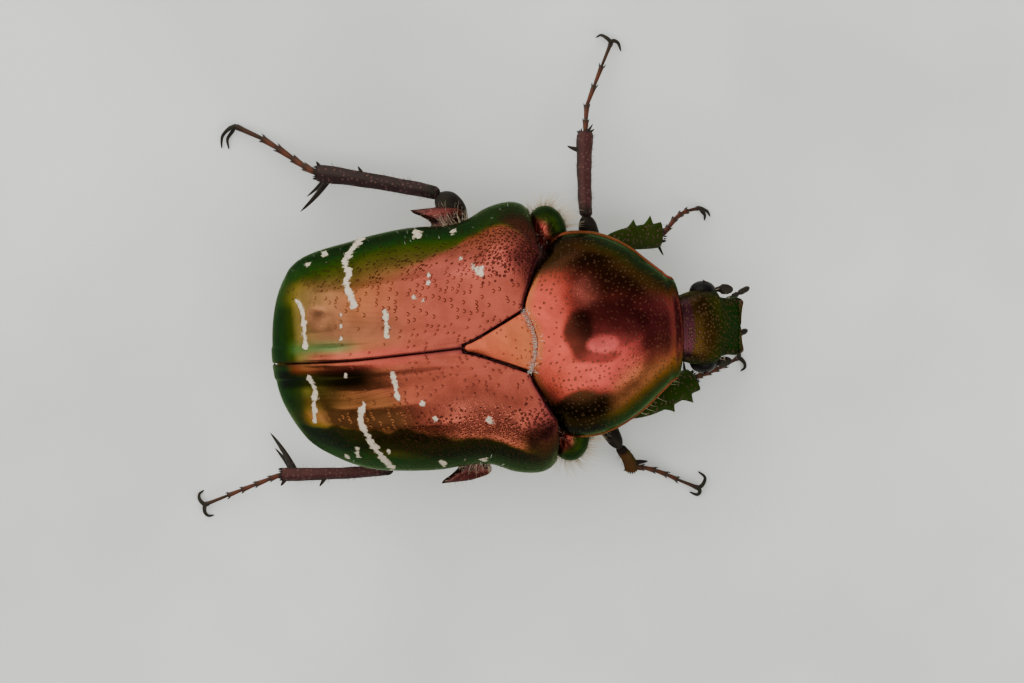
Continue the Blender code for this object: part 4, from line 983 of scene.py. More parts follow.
def right_case_washes(colours, x, y, waver):
    """The right wing case's own colours: a pink painted highlight and amber inside the painted dark reflection
    along its side, a dark strip by the seam that is painted dark reflection too, and a painted dark reflection on
    the shoulder.
    """
    beyond = y - curve(RIGHT_SHADOW, x)
    band = step(0.0, 0.18, beyond + 0.1 * rough(x, y, 7.0, 9)) * step(1.25, 0.8, beyond)
    strip = step(0.2, 0.34, y) * step(1.15, 0.85, y) * step(-3.3, -4.1, x)
    spots = step(0.05, 0.35, rough(x, y, 9.0, 3) + 0.5 * rough(x, y, 21.0, 4))
    inside_band = step(-1.9, -1.1, beyond) * step(0.15, -0.1, beyond)
    return [
        # A pink painted highlight just inside the dark band.
        (PINK_HIGHLIGHT, 0.85 * inside_band * step(-1.4, -0.3, x) * step(2.3, 1.4, x)),
        (AMBER, 0.85 * bell(beyond, -0.3, 0.28) * step(-2.0, -3.0, x)),
        (np.array(colours.gold) * 0.5, 0.7 * bell(beyond, -0.95, 0.25) * step(-2.2, -3.2, x)),
        (TAIL_SHADOW, 0.85 * step(-6.0, -6.5, x + 0.1 * waver)),
        # Painted dark reflection: the band along the side and the strip by the seam.
        (DARK_REFLECTION_OLIVE, 0.92 * np.maximum(band, strip)),
        # A painted dark reflection on the shoulder, broken by pale dots.
        *ovals(x, y, RIGHT_SHOULDER_DARK_REFLECTION, shown=np.maximum(spots, 0.5)),
    ]


def wing_case_tint(side, colours, x, y, s, t):
    """Copper that turns to gold and green outwards and towards the tail, with the flanks dimmed as painted shade
    and a painted highlight by the left seam, under what each side has of its own.
    """
    left, own = side == "left", WING_CASES[side]
    waver = rough(x, y, 1.3, 5)
    green, olive = np.array(colours.green), np.array(colours.green) * 1.3 + np.array(colours.gold) * 0.35
    seam_highlight = bell(y, 0.53, 0.17) * step(-3.6, -5.0, x) * step(-6.8, -6.3, x)
    return paint(
        x.shape, CASE_COPPER,
        (colours.gold, 0.8 * step(-0.5, -5.5, x + 0.5 * waver)),
        (olive * 1.5, 0.75 * step(-4.2, -6.2, x + 0.3 * waver)),
        # The flank's olive and green, dimmed by the side's shade: painted shade.
        (olive * own["shade"], 0.7 * step(0.62, 0.84, t + 0.06 * waver + 0.12 * step(-1.0, -5.0, x))),
        (green, 0.9 * step(-5.9, -7.3, x + 0.2 * waver)),
        (green * own["shade"], step(0.72, 0.93, t + 0.03 * waver + 0.1 * step(-2.0, -6.5, x))),
        *(left_case_washes(colours, x, y, t, waver) if left else right_case_washes(colours, x, y, waver)),
        (colours.plum, 0.6 * bell(x, 2.9, 0.6) * step(0.35, 0.65, t)),
        (colours.plum, 0.8 * step(0.3, 0.0, elytra_front_x(y) - x)),
        (colours.deep_green, step(0.86, 1.0, t)),
        (colours.deep_green, step(0.04, 0.0, s)),
        (colours.plum, 0.8 * bell(y, 0.0, 0.07)),
        # A painted highlight along the left seam near the tail.
        (SEAM_HIGHLIGHT_GREEN, 0.8 * seam_highlight * left),
        (colours.rose, 0.6 * bell(y, 0.2, 0.12) * step(-1.0, -3.0, x) * step(*own["rose_end"], x)),
    )


class CHAFER_OT_elytra(bpy.types.Operator):
    """Two wing cases with their ribs, pits and pale marks"""

    bl_idname = "chafer.elytra"
    bl_label = "Elytra"

    def execute(self, context):
        finish = shell_material(
            "wing case metal", pit_scale=6.2, pit_radius=0.36, pit_depth=0.04, pit_shading=0.85, shoe_scale=4.2,
            shoe_radius=0.25, shoe_depth=0.016, shoe_shading=0.3, roughness=0.26, dot=(0.06, 0.015, 0.011),
            patterned=True,
        )
        for side, own in WING_CASES.items():
            points, s, t = elytron_grid(230, 120)
            x, y = points[..., 0], points[..., 1]
            shoulder = step(0.42, 0.62, t) * step(*own["shoulder"], x)
            shoes = 0.3 + 0.3 * step(0.3, 0.6, t) + 0.4 * shoulder - 0.2 * step(-2.5, -3.5, x)
            to_side = (1, own["sign"], 1)
            case = Solid().shell(
                points, ELYTRA_THICKNESS,
                tint=wing_case_tint(side, context.scene.chafer_shell, x, y, s, t),
                mark=mark_distance(lean(points * to_side) * to_side, MARKS[side]),
                shoes=np.clip(shoes, 0, MOST_PITS),
                pits=np.clip(0.3 * step(0.55, 0.75, t) + 0.9 * shoulder, 0, MOST_PITS),
                striae=bell(y, 1.45, 0.5) * step(-2.1, -3.2, x) * step(*own["striae_end"], x),
                hair=0.25 * step(0.8, 0.95, t),
            )
            if side == "right":
                case.mirror()
            case.points = [lean(held) for held in case.points]
            case.finish(f"wing_case_{side}", finish, (f"elytron_{side}",), "copper_green_shell")
        return {"FINISHED"}


class CHAFER_OT_scutellum(bpy.types.Operator):
    """The small triangle between the wing cases"""

    bl_idname = "chafer.scutellum"
    bl_label = "Scutellum"

    def execute(self, context):
        colours = context.scene.chafer_shell
        rows, columns = 70, 60
        share = np.linspace(0, 1, rows)[:, None] * np.ones((1, columns))
        across = np.linspace(-1, 1, columns)[None, :] * np.ones((rows, 1))
        x = share * SCUTELLUM_LENGTH
        for _ in range(9):
            spread = np.maximum(x, 0.0) / SCUTELLUM_LENGTH * SCUTELLUM_HALF_WIDTH
            half = np.sqrt(SCUTELLUM_TIP_RADIUS**2 + spread**2)
            y = half * across
            tip = 0.12 * across**2
            x = tip + (curve(PRONOTUM_REAR, np.abs(y)) - PRONOTUM_LAP + 0.05 - tip) * share
        edge = np.minimum((1 - np.abs(across)) * half, share * 2.5)
        rounding = SCUTELLUM_EDGE_RADIUS * (1 - dome(edge / SCUTELLUM_EDGE_RADIUS))
        z = SCUTELLUM_HEIGHT - 0.05 * across**2 - rounding - 0.05 * share
        points = np.stack((x, y, z), -1)
        tint = paint(
            x.shape, colours.copper, (colours.gold, 0.35 + 0.3 * rough(x, y, 1.5, 9)),
            (colours.plum, step(0.1, 0.0, edge) * 0.8), (colours.plum, 0.5 * step(0.85, 1.0, share)),
        )
        pits = 0.12 + 0.5 * step(0.75, 0.95, share)
        plate = Solid().shell(points, SCUTELLUM_THICKNESS, tint=tint, pits=pits, hair=step(0.93, 0.97, share))
        finish = shell_material("scutellum metal", pit_scale=6.0, pit_depth=0.01, pit_shading=0.35, roughness=0.24)
        plate.finish("scutellum_plate", finish, ("scutellum",), "copper_green_shell")
        return {"FINISHED"}


# Prothorax


def body_rings(x_of_y, half_width, top, middle, bottom, powers, sides):
    """Closed rings whose upper and lower halves are superellipses, and how far up and out each point lies."""
    turn = np.linspace(0, 2 * math.pi, sides, endpoint=False)[None, :]
    c, s = np.cos(turn), np.sin(turn)
    half_width, top, middle, bottom = (np.asarray(v, float)[:, None] for v in (half_width, top, middle, bottom))
    power = np.where(s > 0, powers[0], powers[1])
    y = half_width * np.sign(c) * np.abs(c) ** (2 / power)
    reach = np.where(s > 0, top - middle, middle - bottom)
    z = middle + reach * np.sign(s) * np.abs(s) ** (2 / power)
    return np.stack((x_of_y(y), y, z), -1), s * np.ones(y.shape), np.abs(c) * np.ones(y.shape)


def pronotum_tint(colours, under, rings, along, upper, from_rim):
    """Copper and rose that turn to gold and green downwards, with plum at the front as painted shade, painted
    highlights, and painted dark reflections and a painted reflection ring over them.
    """
    x, y = rings[..., 0], rings[..., 1]
    waver = rough(x, y, 1.2, 13)
    height = np.clip(upper, 0, 1)
    above = upper > 0.1
    ragged = 0.12 * waver + 0.1 * rough(x, y, 5.0, 17)
    # How far a point lies beyond the slanting front edge of the right side.
    outer = (x - 5.95) * 0.585 - (y + 2.6) * 0.81
    return paint(
        x.shape, np.array(colours.rose) * 1.05,
        (colours.copper, 0.75 * step(0.7, 0.15, along) * (1 + 0.3 * waver)),
        # A painted highlight.
        *ovals(x, y, PRONOTUM_HIGHLIGHT),
        # Plum at the front, left and middle: painted shade.
        (colours.plum, 0.75 * step(0.55, 0.85, along) * step(0.2, 0.7, height) * step(-1.6, -0.4, y)),
        # Gold at the front right: a painted highlight.
        (colours.gold, 0.7 * step(0.5, 0.9, along) * bell(y, -1.9, 0.8)),
        (np.array(colours.gold) * 0.4, 0.75 * step(0.88, 0.66, height + 0.08 * waver)),
        (colours.green, 0.9 * step(0.68, 0.45, height + 0.06 * waver) * step(0.15, 0.55, along)),
        (UMBER, 0.9 * step(0.93, 0.74, height + 0.08 * waver) * step(0.6, 0.3, along)),
        (colours.deep_green, step(0.35, 0.1, upper)),
        (under.bronze, step(-0.12, -0.3, upper)),
        (RIM_RED, 0.95 * bell(from_rim, 0.035, 0.05)),
        (colours.plum, 0.6 * bell(along, 1.0, 0.02)),
        (colours.gold, 0.6 * bell(along, 0.02, 0.02)),
        (UMBER, 0.85 * step(2.3, 2.8, np.abs(y)) * step(0.3, 0.1, along) * above),
        # Painted dark reflections.
        *ovals(x, y, PRONOTUM_SHADOWS, ragged, above),
        # A painted dark reflection at the front left.
        (DARK_REFLECTION_BROWN, 0.8 * step(0.9, 1.9, y) * step(4.3, 5.3, x + ragged) * above),
        # A painted reflection ring.
        *ovals(x, y, PRONOTUM_REFLECTION_RING, ragged, above),
        # A painted highlight at the front right.
        (ORANGE_HIGHLIGHT, 0.7 * bell(outer, -0.4, 0.35) * step(-0.8, -1.5, y) * step(5.0, 5.7, x) * above),
        (MOSS, 0.8 * bell(outer, 0.35, 0.4) * step(-0.6, -1.2, y) * step(4.6, 5.4, x) * above),
    )


class CHAFER_OT_prothorax(bpy.types.Operator):
    """The pronotum with its pits and raised rim, and the ring of the prothorax below it"""

    bl_idname = "chafer.prothorax"
    bl_label = "Prothorax"

    def execute(self, context):
        rows, sides = 110, 300
        share = np.linspace(0, 1, rows)
        share = 0.6 * share + 0.4 * (1 - np.cos(math.pi * share)) / 2

        def x_of_y(y):
            rear = pronotum_rear_x(y)
            front = PRONOTUM_FRONT_X - PRONOTUM_FRONT_SETBACK * (np.abs(y) / 1.72) ** 2
            return rear + (front - rear) * share[:, None]

        rings, upper, width = body_rings(
            x_of_y, curve(PRONOTUM_HALF_WIDTH, share), curve(PRONOTUM_CROWN_HEIGHT, share),
            curve(PRONOTUM_EDGE_HEIGHT, share), curve(PROTHORAX_UNDER_HEIGHT, share), (2.3, 2.2), sides,
        )
        normals = facing_up(grid_normals(rings, wrap=True), rows // 2, sides // 4)
        from_rim = np.abs(np.arcsin(upper))
        ends = step(0.0, 0.03, share)[:, None] * step(1.0, 0.97, share)[:, None]
        relief = 0.07 * bell(from_rim, 0.03, 0.035) - 0.035 * bell(from_rim, 0.13, 0.04) * (upper > 0)
        front_bead = 0.045 * bell(share, 0.985, 0.012)[:, None] - 0.02 * bell(share, 0.95, 0.012)[:, None]
        rear_fall = -0.05 * (1 - dome(share / 0.012))[:, None]
        uneven = 0.02 * rough(rings[..., 0], rings[..., 1], 0.9, 11) * step(0.2, 0.6, upper)
        relief = relief * ends + front_bead * (upper > -0.1) + rear_fall + uneven
        rings = rings + normals * relief[..., None]
        along, height = share[:, None], np.clip(upper, 0, 1)
        scene = context.scene
        tint = pronotum_tint(scene.chafer_shell, scene.chafer_underside, rings, along, upper, from_rim)
        pits = 0.5 + 0.5 * step(0.97, 0.8, height) + 0.4 * step(0.5, 0.85, along)
        pits = pits - 0.35 * step(0.3, 0.0, along) * step(0.6, 0.9, height)
        hair = step(-0.05, -0.25, upper) * (0.5 + 0.5 * step(0.5, 1.0, width))
        front = [rings[-1] + (rings[-1].mean(0) - rings[-1]) * pull + (-back, 0, 0) for pull, back in PRONOTUM_FOLD]
        rear = [rings[0] + (rings[0].mean(0) - rings[0]) * pull + (ahead, 0, 0) for pull, ahead in PRONOTUM_LIP]
        whole = np.concatenate((np.array(rear), rings, np.array(front)))

        def padded(v):
            """Values of the rings, repeated for the rings behind and before them."""
            return np.concatenate([v[:1]] * len(rear) + [v] + [v[-1:]] * len(front))

        below = np.where(padded(upper) < 0, 20.0, 0.0)
        flat = np.stack((run_lengths(whole, 0), whole[..., 1] * 1.15 + below, 0 * below), -1)
        body = Solid().loft(
            whole, flat=flat, tint=padded(tint), pits=padded(np.clip(pits, 0, MOST_PITS)), hair=padded(hair),
        )
        finish = shell_material(
            "pronotum metal", pit_scale=5.0, pit_radius=0.22, pit_depth=0.04, pit_shading=0.75, roughness=0.25,
            dot=(0.13, 0.07, 0.04),
        )
        body.move(prothorax_matrix())
        body.finish("prothorax_shield", finish, ("prothorax",), "copper_green_shell")
        return {"FINISHED"}


class CHAFER_OT_thorax(bpy.types.Operator):
    """The middle of the body, the knob between the middle legs and the side plates"""

    bl_idname = "chafer.thorax"
    bl_label = "Thorax"

    def execute(self, context):
        under = context.scene.chafer_underside
        sections = np.array(THORAX_SECTIONS)[::-1]
        x_at = np.linspace(sections[0, 0], sections[-1, 0], 110)
        half, top, middle, bottom = columns_at(sections, x_at)
        front = np.maximum(0.0, (x_at - 1.7) / 1.3)[:, None]

        def x_of_y(y):
            """The front follows the rear edge of the turned prothorax."""
            out = np.abs(y)
            edge = curve(PRONOTUM_REAR, np.minimum(out, 3.2)) - 0.06 + 0.061 * (y + 3.0) * step(1.6, 2.2, out)
            edge = edge - 0.24 * step(2.2, 1.6, out)
            return x_at[:, None] * (1 - front) + edge * front

        rings, upper, _ = body_rings(x_of_y, half, top - 0.45, middle, bottom, THORAX_POWERS, 200)
        rings[..., 1] *= 1 - 0.07 * step(0.0, 0.5, upper)
        normals = facing_up(grid_normals(rings, wrap=True), 50, 50)
        x, y = rings[..., 0], rings[..., 1]
        below = step(0.1, -0.2, upper)
        relief = -0.08 * bell(y, 0.0, 0.05) * below * step(2.6, 1.8, x)
        relief -= 0.06 * bell(x + 0.25 * np.abs(y), 1.35, 0.07) * below
        relief -= 0.07 * bell(x - 0.3 * upper, 0.9, 0.06) * bell(upper, -0.1, 0.35)
        relief += 0.012 * rough(x * 2, y * 2, 1.5, 17)
        rings = rings + normals * relief[..., None]
        tint = paint(
            x.shape, under.bronze, (THORAX_BROWN, step(0.2, 0.6, upper)),
            (THORAX_OLIVE, 0.5 * bell(upper, -0.25, 0.25)), (SEAM_BROWN, bell(y, 0, 0.06) * below),
        )
        hair = np.clip(step(0.25, 0.0, upper) * step(-0.95, -0.55, upper) + 0.15 * below, 0, 1)
        body = Solid().loft(rings, tint=tint, pits=0.5, shoes=0.6, hair=hair)
        body.loft(ball_rings(KNOB_CENTRE, KNOB_RADII, 24, 40), tint=(*under.bronze, 1.0), pits=0.2)
        for side in (1, -1):
            fill = ball_rings(np.array(SHOULDER_FILL_CENTRE) * (1, side, 1), SHOULDER_FILL_RADII, 24, 40)
            # The fills are black: painted shade in the gap under the shoulder.
            body.loft(fill, tint=(*under.black, 1.0), pits=0.2)
        finish = shell_material("underside metal", pit_scale=3.4, pit_radius=0.24, pit_depth=0.02, shoe_scale=2.2,
                                roughness=0.34, metallic=0.8)
        body.finish("middle_body", finish, ("thorax",), "bronze_underside")
        return {"FINISHED"}


class CHAFER_OT_abdomen(bpy.types.Operator):
    """The hind body with its overlapping rings, and the end plate"""

    bl_idname = "chafer.abdomen"
    bl_label = "Abdomen"

    def execute(self, context):
        under, colours = context.scene.chafer_underside, context.scene.chafer_shell
        x_at = np.linspace(ABDOMEN_RINGS[0], ABDOMEN_RINGS[-1], 150)
        edges = np.array(ABDOMEN_RINGS)
        order = np.clip(np.searchsorted(-edges, -x_at, side="right") - 1, 0, len(edges) - 2)
        share = (edges[order] - x_at) / (edges[order] - edges[order + 1])
        lift = ABDOMEN_STEP * share * (order < len(edges) - 2)
        half = curve(ABDOMEN_HALF_WIDTH, x_at) + lift
        rings, upper, _ = body_rings(
            lambda y: x_at[:, None] + 0 * y, half, curve(ABDOMEN_TOP, x_at) - 0.5, curve(ABDOMEN_MIDDLE, x_at),
            curve(ABDOMEN_BOTTOM, x_at) - lift, (2.5, 2.2), 180,
        )
        rings[..., 1] *= 1 - 0.08 * step(0.0, 0.5, upper)
        x, y = rings[..., 0], rings[..., 1]
        seam = bell(share, 0.0, 0.06)[:, None]
        chalk = bell(upper, -0.12, 0.1) * bell(share, 0.35, 0.16)[:, None]
        tint = paint(
            x.shape, under.bronze, (ABDOMEN_OLIVE, 0.5 * bell(upper, -0.2, 0.3)),
            (SEAM_BROWN, 0.8 * seam), (colours.mark, step(0.55, 0.75, chalk)),
        )
        hair = step(0.1, -0.1, upper) * (0.12 + 0.4 * bell(upper, -0.15, 0.2)) * bell(share, 0.6, 0.3)[:, None]
        body = Solid().loft(rings, tint=tint, pits=0.45, shoes=0.7 * step(0.2, 0.6, np.abs(y) / 4), hair=hair)
        finish = shell_material("belly metal", pit_scale=3.6, pit_radius=0.2, pit_depth=0.015, shoe_scale=2.2,
                                roughness=0.32, metallic=0.8)
        body.finish("hind_body", finish, ("abdomen",), "bronze_underside")
        rings = ball_rings(PYGIDIUM_CENTRE, PYGIDIUM_RADII, 70, 160)
        x, y, z = rings[..., 0], rings[..., 1], rings[..., 2]
        waver = rough(y * 2, z * 2, 1.4, 21)
        spots = np.minimum(np.hypot(np.abs(y) - 0.75, (z - 4.3) * 1.5), np.hypot(np.abs(y) - 1.75, (z - 4.0) * 1.3))
        tint = paint(
            x.shape, colours.copper, (colours.green, 0.6 + 0.4 * waver), (colours.mark, step(0.3, 0.22, spots)),
        )
        plate = Solid().loft(rings, tint=tint, pits=0.8, shoes=0.8, hair=0.3 * step(-6.6, -7.0, x))
        finish = shell_material("end plate metal", pit_scale=5.0, pit_radius=0.25, pit_depth=0.015, shoe_scale=3.0,
                                roughness=0.34)
        plate.finish("end_plate", finish, ("pygidium",), "copper_green_shell")
        return {"FINISHED"}


def shoulder_plate(colours, under):
    """The bulging plate in front of the left shoulder."""
    rings = ball_rings(MESEPIMERON_CENTRE, MESEPIMERON_RADII, 60, 90)
    x, y, z = rings[..., 0], rings[..., 1], rings[..., 2]
    inner = step(4.5, 4.1, y + 0.5 * (x - 3.6)) * step(3.9, 3.5, x)
    tint = paint(
        x.shape, np.array(colours.green) * 0.8, (colours.deep_green, step(4.3, 4.75, y)),
        (colours.deep_green, 0.6 * step(3.7, 4.2, x)), (colours.rose, 0.8 * inner),
        (colours.plum, 0.5 * bell(inner, 0.5, 0.3)), (under.bronze, step(4.9, 4.4, z)),
    )
    hair = step(4.2, 3.8, y + 0.4 * (x - 3.4)) * step(4.6, 5.2, z) * step(3.7, 3.3, x)
    return Solid().loft(rings, tint=tint, pits=0.85, hair=hair, long_hair=step(5.1, 4.6, z) * step(3.4, 4.2, y))


def hip_plate(colours, under):
    """The left hind coxa, a broad plate whose outer end shows beside the wing case."""
    y_at = np.linspace(HIND_COXA_SECTIONS[0][0], HIND_COXA_SECTIONS[-1][0], 90)
    front, rear, low, high = (v[:, None] for v in columns_at(HIND_COXA_SECTIONS, y_at))
    turn = np.linspace(0, 2 * math.pi, 64, endpoint=False)[None, :]
    x = (front + rear) / 2 + (front - rear) / 2 * np.cos(turn)
    y = y_at[:, None] + 0 * turn
    z = (low + high) / 2 + (high - low) / 2 * np.sin(turn)
    outer = step(4.0, 4.8, y)
    streak = bell(y, 5.12, 0.13) * step(-1.4, -0.6, x)
    tint = paint(x.shape, under.bronze, (COXA_BROWN, 0.95 * outer), (colours.rose, 0.22 * streak))
    hair = 0.15 + 0.7 * outer
    return Solid().loft(np.stack((x, y, z), -1), tint=tint, pits=0.6, shoes=0.5 - 0.5 * outer, hair=hair)


class CHAFER_OT_side_plates(bpy.types.Operator):
    """The bulging plates in front of the shoulders, and the hind coxae"""

    bl_idname = "chafer.side_plates"
    bl_label = "Side plates"

    def execute(self, context):
        shell = shell_material("side plate metal", pit_scale=5.0, pit_radius=0.3, pit_depth=0.02, roughness=0.3)
        coxa = shell_material("coxa metal", pit_scale=4.0, pit_radius=0.26, pit_depth=0.02, shoe_scale=2.6,
                              roughness=0.32, metallic=0.85)
        for side in ("left", "right"):
            for name, make, finish, node, slot in (
                ("shoulder_plate", shoulder_plate, shell, "mesepimeron", "copper_green_shell"),
                ("hip_plate", hip_plate, coxa, "coxa_hind", "bronze_underside"),
            ):
                plate = make(context.scene.chafer_shell, context.scene.chafer_underside)
                if side == "right":
                    plate.mirror()
                plate.finish(f"{name}_{side}", finish, (f"{node}_{side}",), slot)
        return {"FINISHED"}


# Head


class CHAFER_OT_head(bpy.types.Operator):
    """The head with its raised rim, and the eyes"""

    bl_idname = "chafer.head"
    bl_label = "Head"

    def execute(self, context):
        colours, under = context.scene.chafer_shell, context.scene.chafer_underside
        x_at = -HEAD_NECK_LENGTH + (HEAD_LENGTH + HEAD_NECK_LENGTH) * np.sin(np.linspace(0, math.pi / 2, 110))
        share = x_at / HEAD_LENGTH
        top, low = curve(HEAD_TOP, x_at), curve(HEAD_UNDER, x_at)
        notch = 0.12 * np.maximum(0.0, (share - 0.6) / 0.4)[:, None]
        rings, upper, _ = body_rings(
            lambda y: x_at[:, None] - notch * np.maximum(0.0, 1 - (y / 0.8) ** 2), curve(HEAD_HALF_WIDTH, x_at),
            top, low + (top - low) * 0.6, low, (3.0, 2.2), 180,
        )
        x, y = rings[..., 0], rings[..., 1]
        across = np.abs(y) / curve(HEAD_HALF_WIDTH, x_at)[:, None]
        on_top = step(0.05, 0.3, upper)
        relief = 0.1 * on_top * bell(across, 0.93, 0.07) * step(1.1, 1.5, x)
        relief += 0.1 * on_top * bell(x, 2.27, 0.08) * step(0.2, 0.5, across + 0.3)
        relief -= 0.06 * on_top * bell(np.abs(y), 0.62, 0.25) * bell(x, 1.7, 0.5)
        relief += 0.05 * on_top * bell(y, 0.0, 0.16) * bell(x, 1.3, 0.7)
        rings[..., 2] += relief
        waver = rough(x * 2, y * 2, 1.2, 31)
        tint = paint(
            x.shape, np.array(colours.green) * 0.33,
            (colours.gold, 0.08 * bell(x, 0.8, 0.4) * (1 + 0.4 * waver)),
            (colours.copper, 0.12 * step(0.65, 0.25, x + 0.2 * waver)),
            (NECK_PLUM, 0.85 * step(-0.3, -0.42, x + 0.08 * waver)),
            (colours.deep_green, 0.75 * step(1.1, 1.9, x)),
            (under.black, 0.75 * step(0.72, 0.95, across) * on_top),
            (under.foot, 0.7 * bell(x, 2.3, 0.06) * on_top),
            (under.bronze, step(0.0, -0.3, upper)),
        )
        hair = step(0.2, -0.2, upper) * step(0.2, 0.5, x) * 0.5 + 0.2 * step(0.85, 1.0, across) * step(0.6, 0.9, x)
        head = Solid().loft(rings, tint=tint, pits=0.9, hair=hair)
        for sign in (1, -1):
            thorn(head, (1.12, sign * 1.15, 0.25), (0.62, sign * 1.83, 0.1), 0.14, bend=(0, 0, 0.08),
                  tint=(*under.leg, 1.0))
        finish = shell_material("head metal", pit_scale=6.5, pit_radius=0.36, pit_depth=0.03, pit_shading=0.6,
                                roughness=0.34, dot=(0.13, 0.065, 0.04))
        head.move(head_matrix())
        head.finish("head_shield", finish, ("head",), "copper_green_shell")
        eye_finish = plain_material("eye horn", EYE_BLACK, 0.34, specular=0.08)
        for side, sign in (("left", 1), ("right", -1)):
            eye = Solid().loft(ball_rings(np.array(EYE_CENTRE) * (1, sign, 1), EYE_RADII, 48, 72))
            eye.move(head_matrix())
            eye.finish(f"eye_ball_{side}", eye_finish, (f"eye_{side}",), "black_horn")
        return {"FINISHED"}


class CHAFER_OT_feelers(bpy.types.Operator):
    """The jointed feelers with their leaved clubs, and the palps"""

    bl_idname = "chafer.feelers"
    bl_label = "Feelers"

    def execute(self, context):
        under = context.scene.chafer_underside
        finish = shell_material("feeler horn", pit_scale=8.0, pit_depth=0.01, roughness=0.4, metallic=0.0,
                                specular=0.25)
        tint, upwards = (*under.black, 1.0), (0, 0, 1)
        for side, joints in ANTENNAE.items():
            root, elbow, club, tip = (np.array(p) for p in joints)
            feeler = Solid()
            share, draw = rounded(26, 0.2, 0.25)
            path = root - (elbow - root) * 0.5 + (elbow - root) * 1.5 * share[:, None]
            width = (0.1 + 0.09 * share) * draw
            feeler.loft(tube_rings(path, width, width, upwards, 20), tint=tint, hair=1.0)
            for k in range(FEELER_JOINTS):
                a, b = (elbow + (club - elbow) * at / FEELER_JOINTS for at in (k, k + 1.15))
                share, draw = rounded(12, 0.4, 0.4)
                width = (0.085 + 0.012 * k) * draw
                feeler.loft(tube_rings(a + (b - a) * share[:, None], width, width, upwards, 16), tint=tint)
            ahead = unit(tip - club)
            for leaf in (-1, 0, 1):
                share, draw = rounded(24, 0.3, 0.45)
                lift = np.array((0.0, 0.0, 0.1 * leaf)) * share[:, None] ** 0.6
                path = club - ahead * 0.08 + (tip - club + ahead * 0.05) * share[:, None] + lift
                width = 0.2 * (1 - 0.12 * abs(leaf)) * draw
                feeler.loft(tube_rings(path, width, width * 0.24, np.cross(ahead, upwards), 20), tint=tint)
            feeler.move(head_matrix())
            feeler.finish(f"feeler_{side}", finish, (f"antenna_{side}",), "black_horn")
        for side, (root, tip) in PALPS.items():
            root, tip = np.array(root), np.array(tip)
            palp = Solid()
            for start, end, width in PALP_JOINTS:
                share, draw = rounded(16, 0.3, 0.35)
                path = root + (tip - root) * (start + (end - start) * share)[:, None]
                palp.loft(tube_rings(path, width * draw, width * draw, upwards, 16), tint=tint)
            palp.move(head_matrix())
            palp.finish(f"mouth_feeler_{side}", finish, (f"palp_{side}",), "black_horn")
        return {"FINISHED"}


# Legs


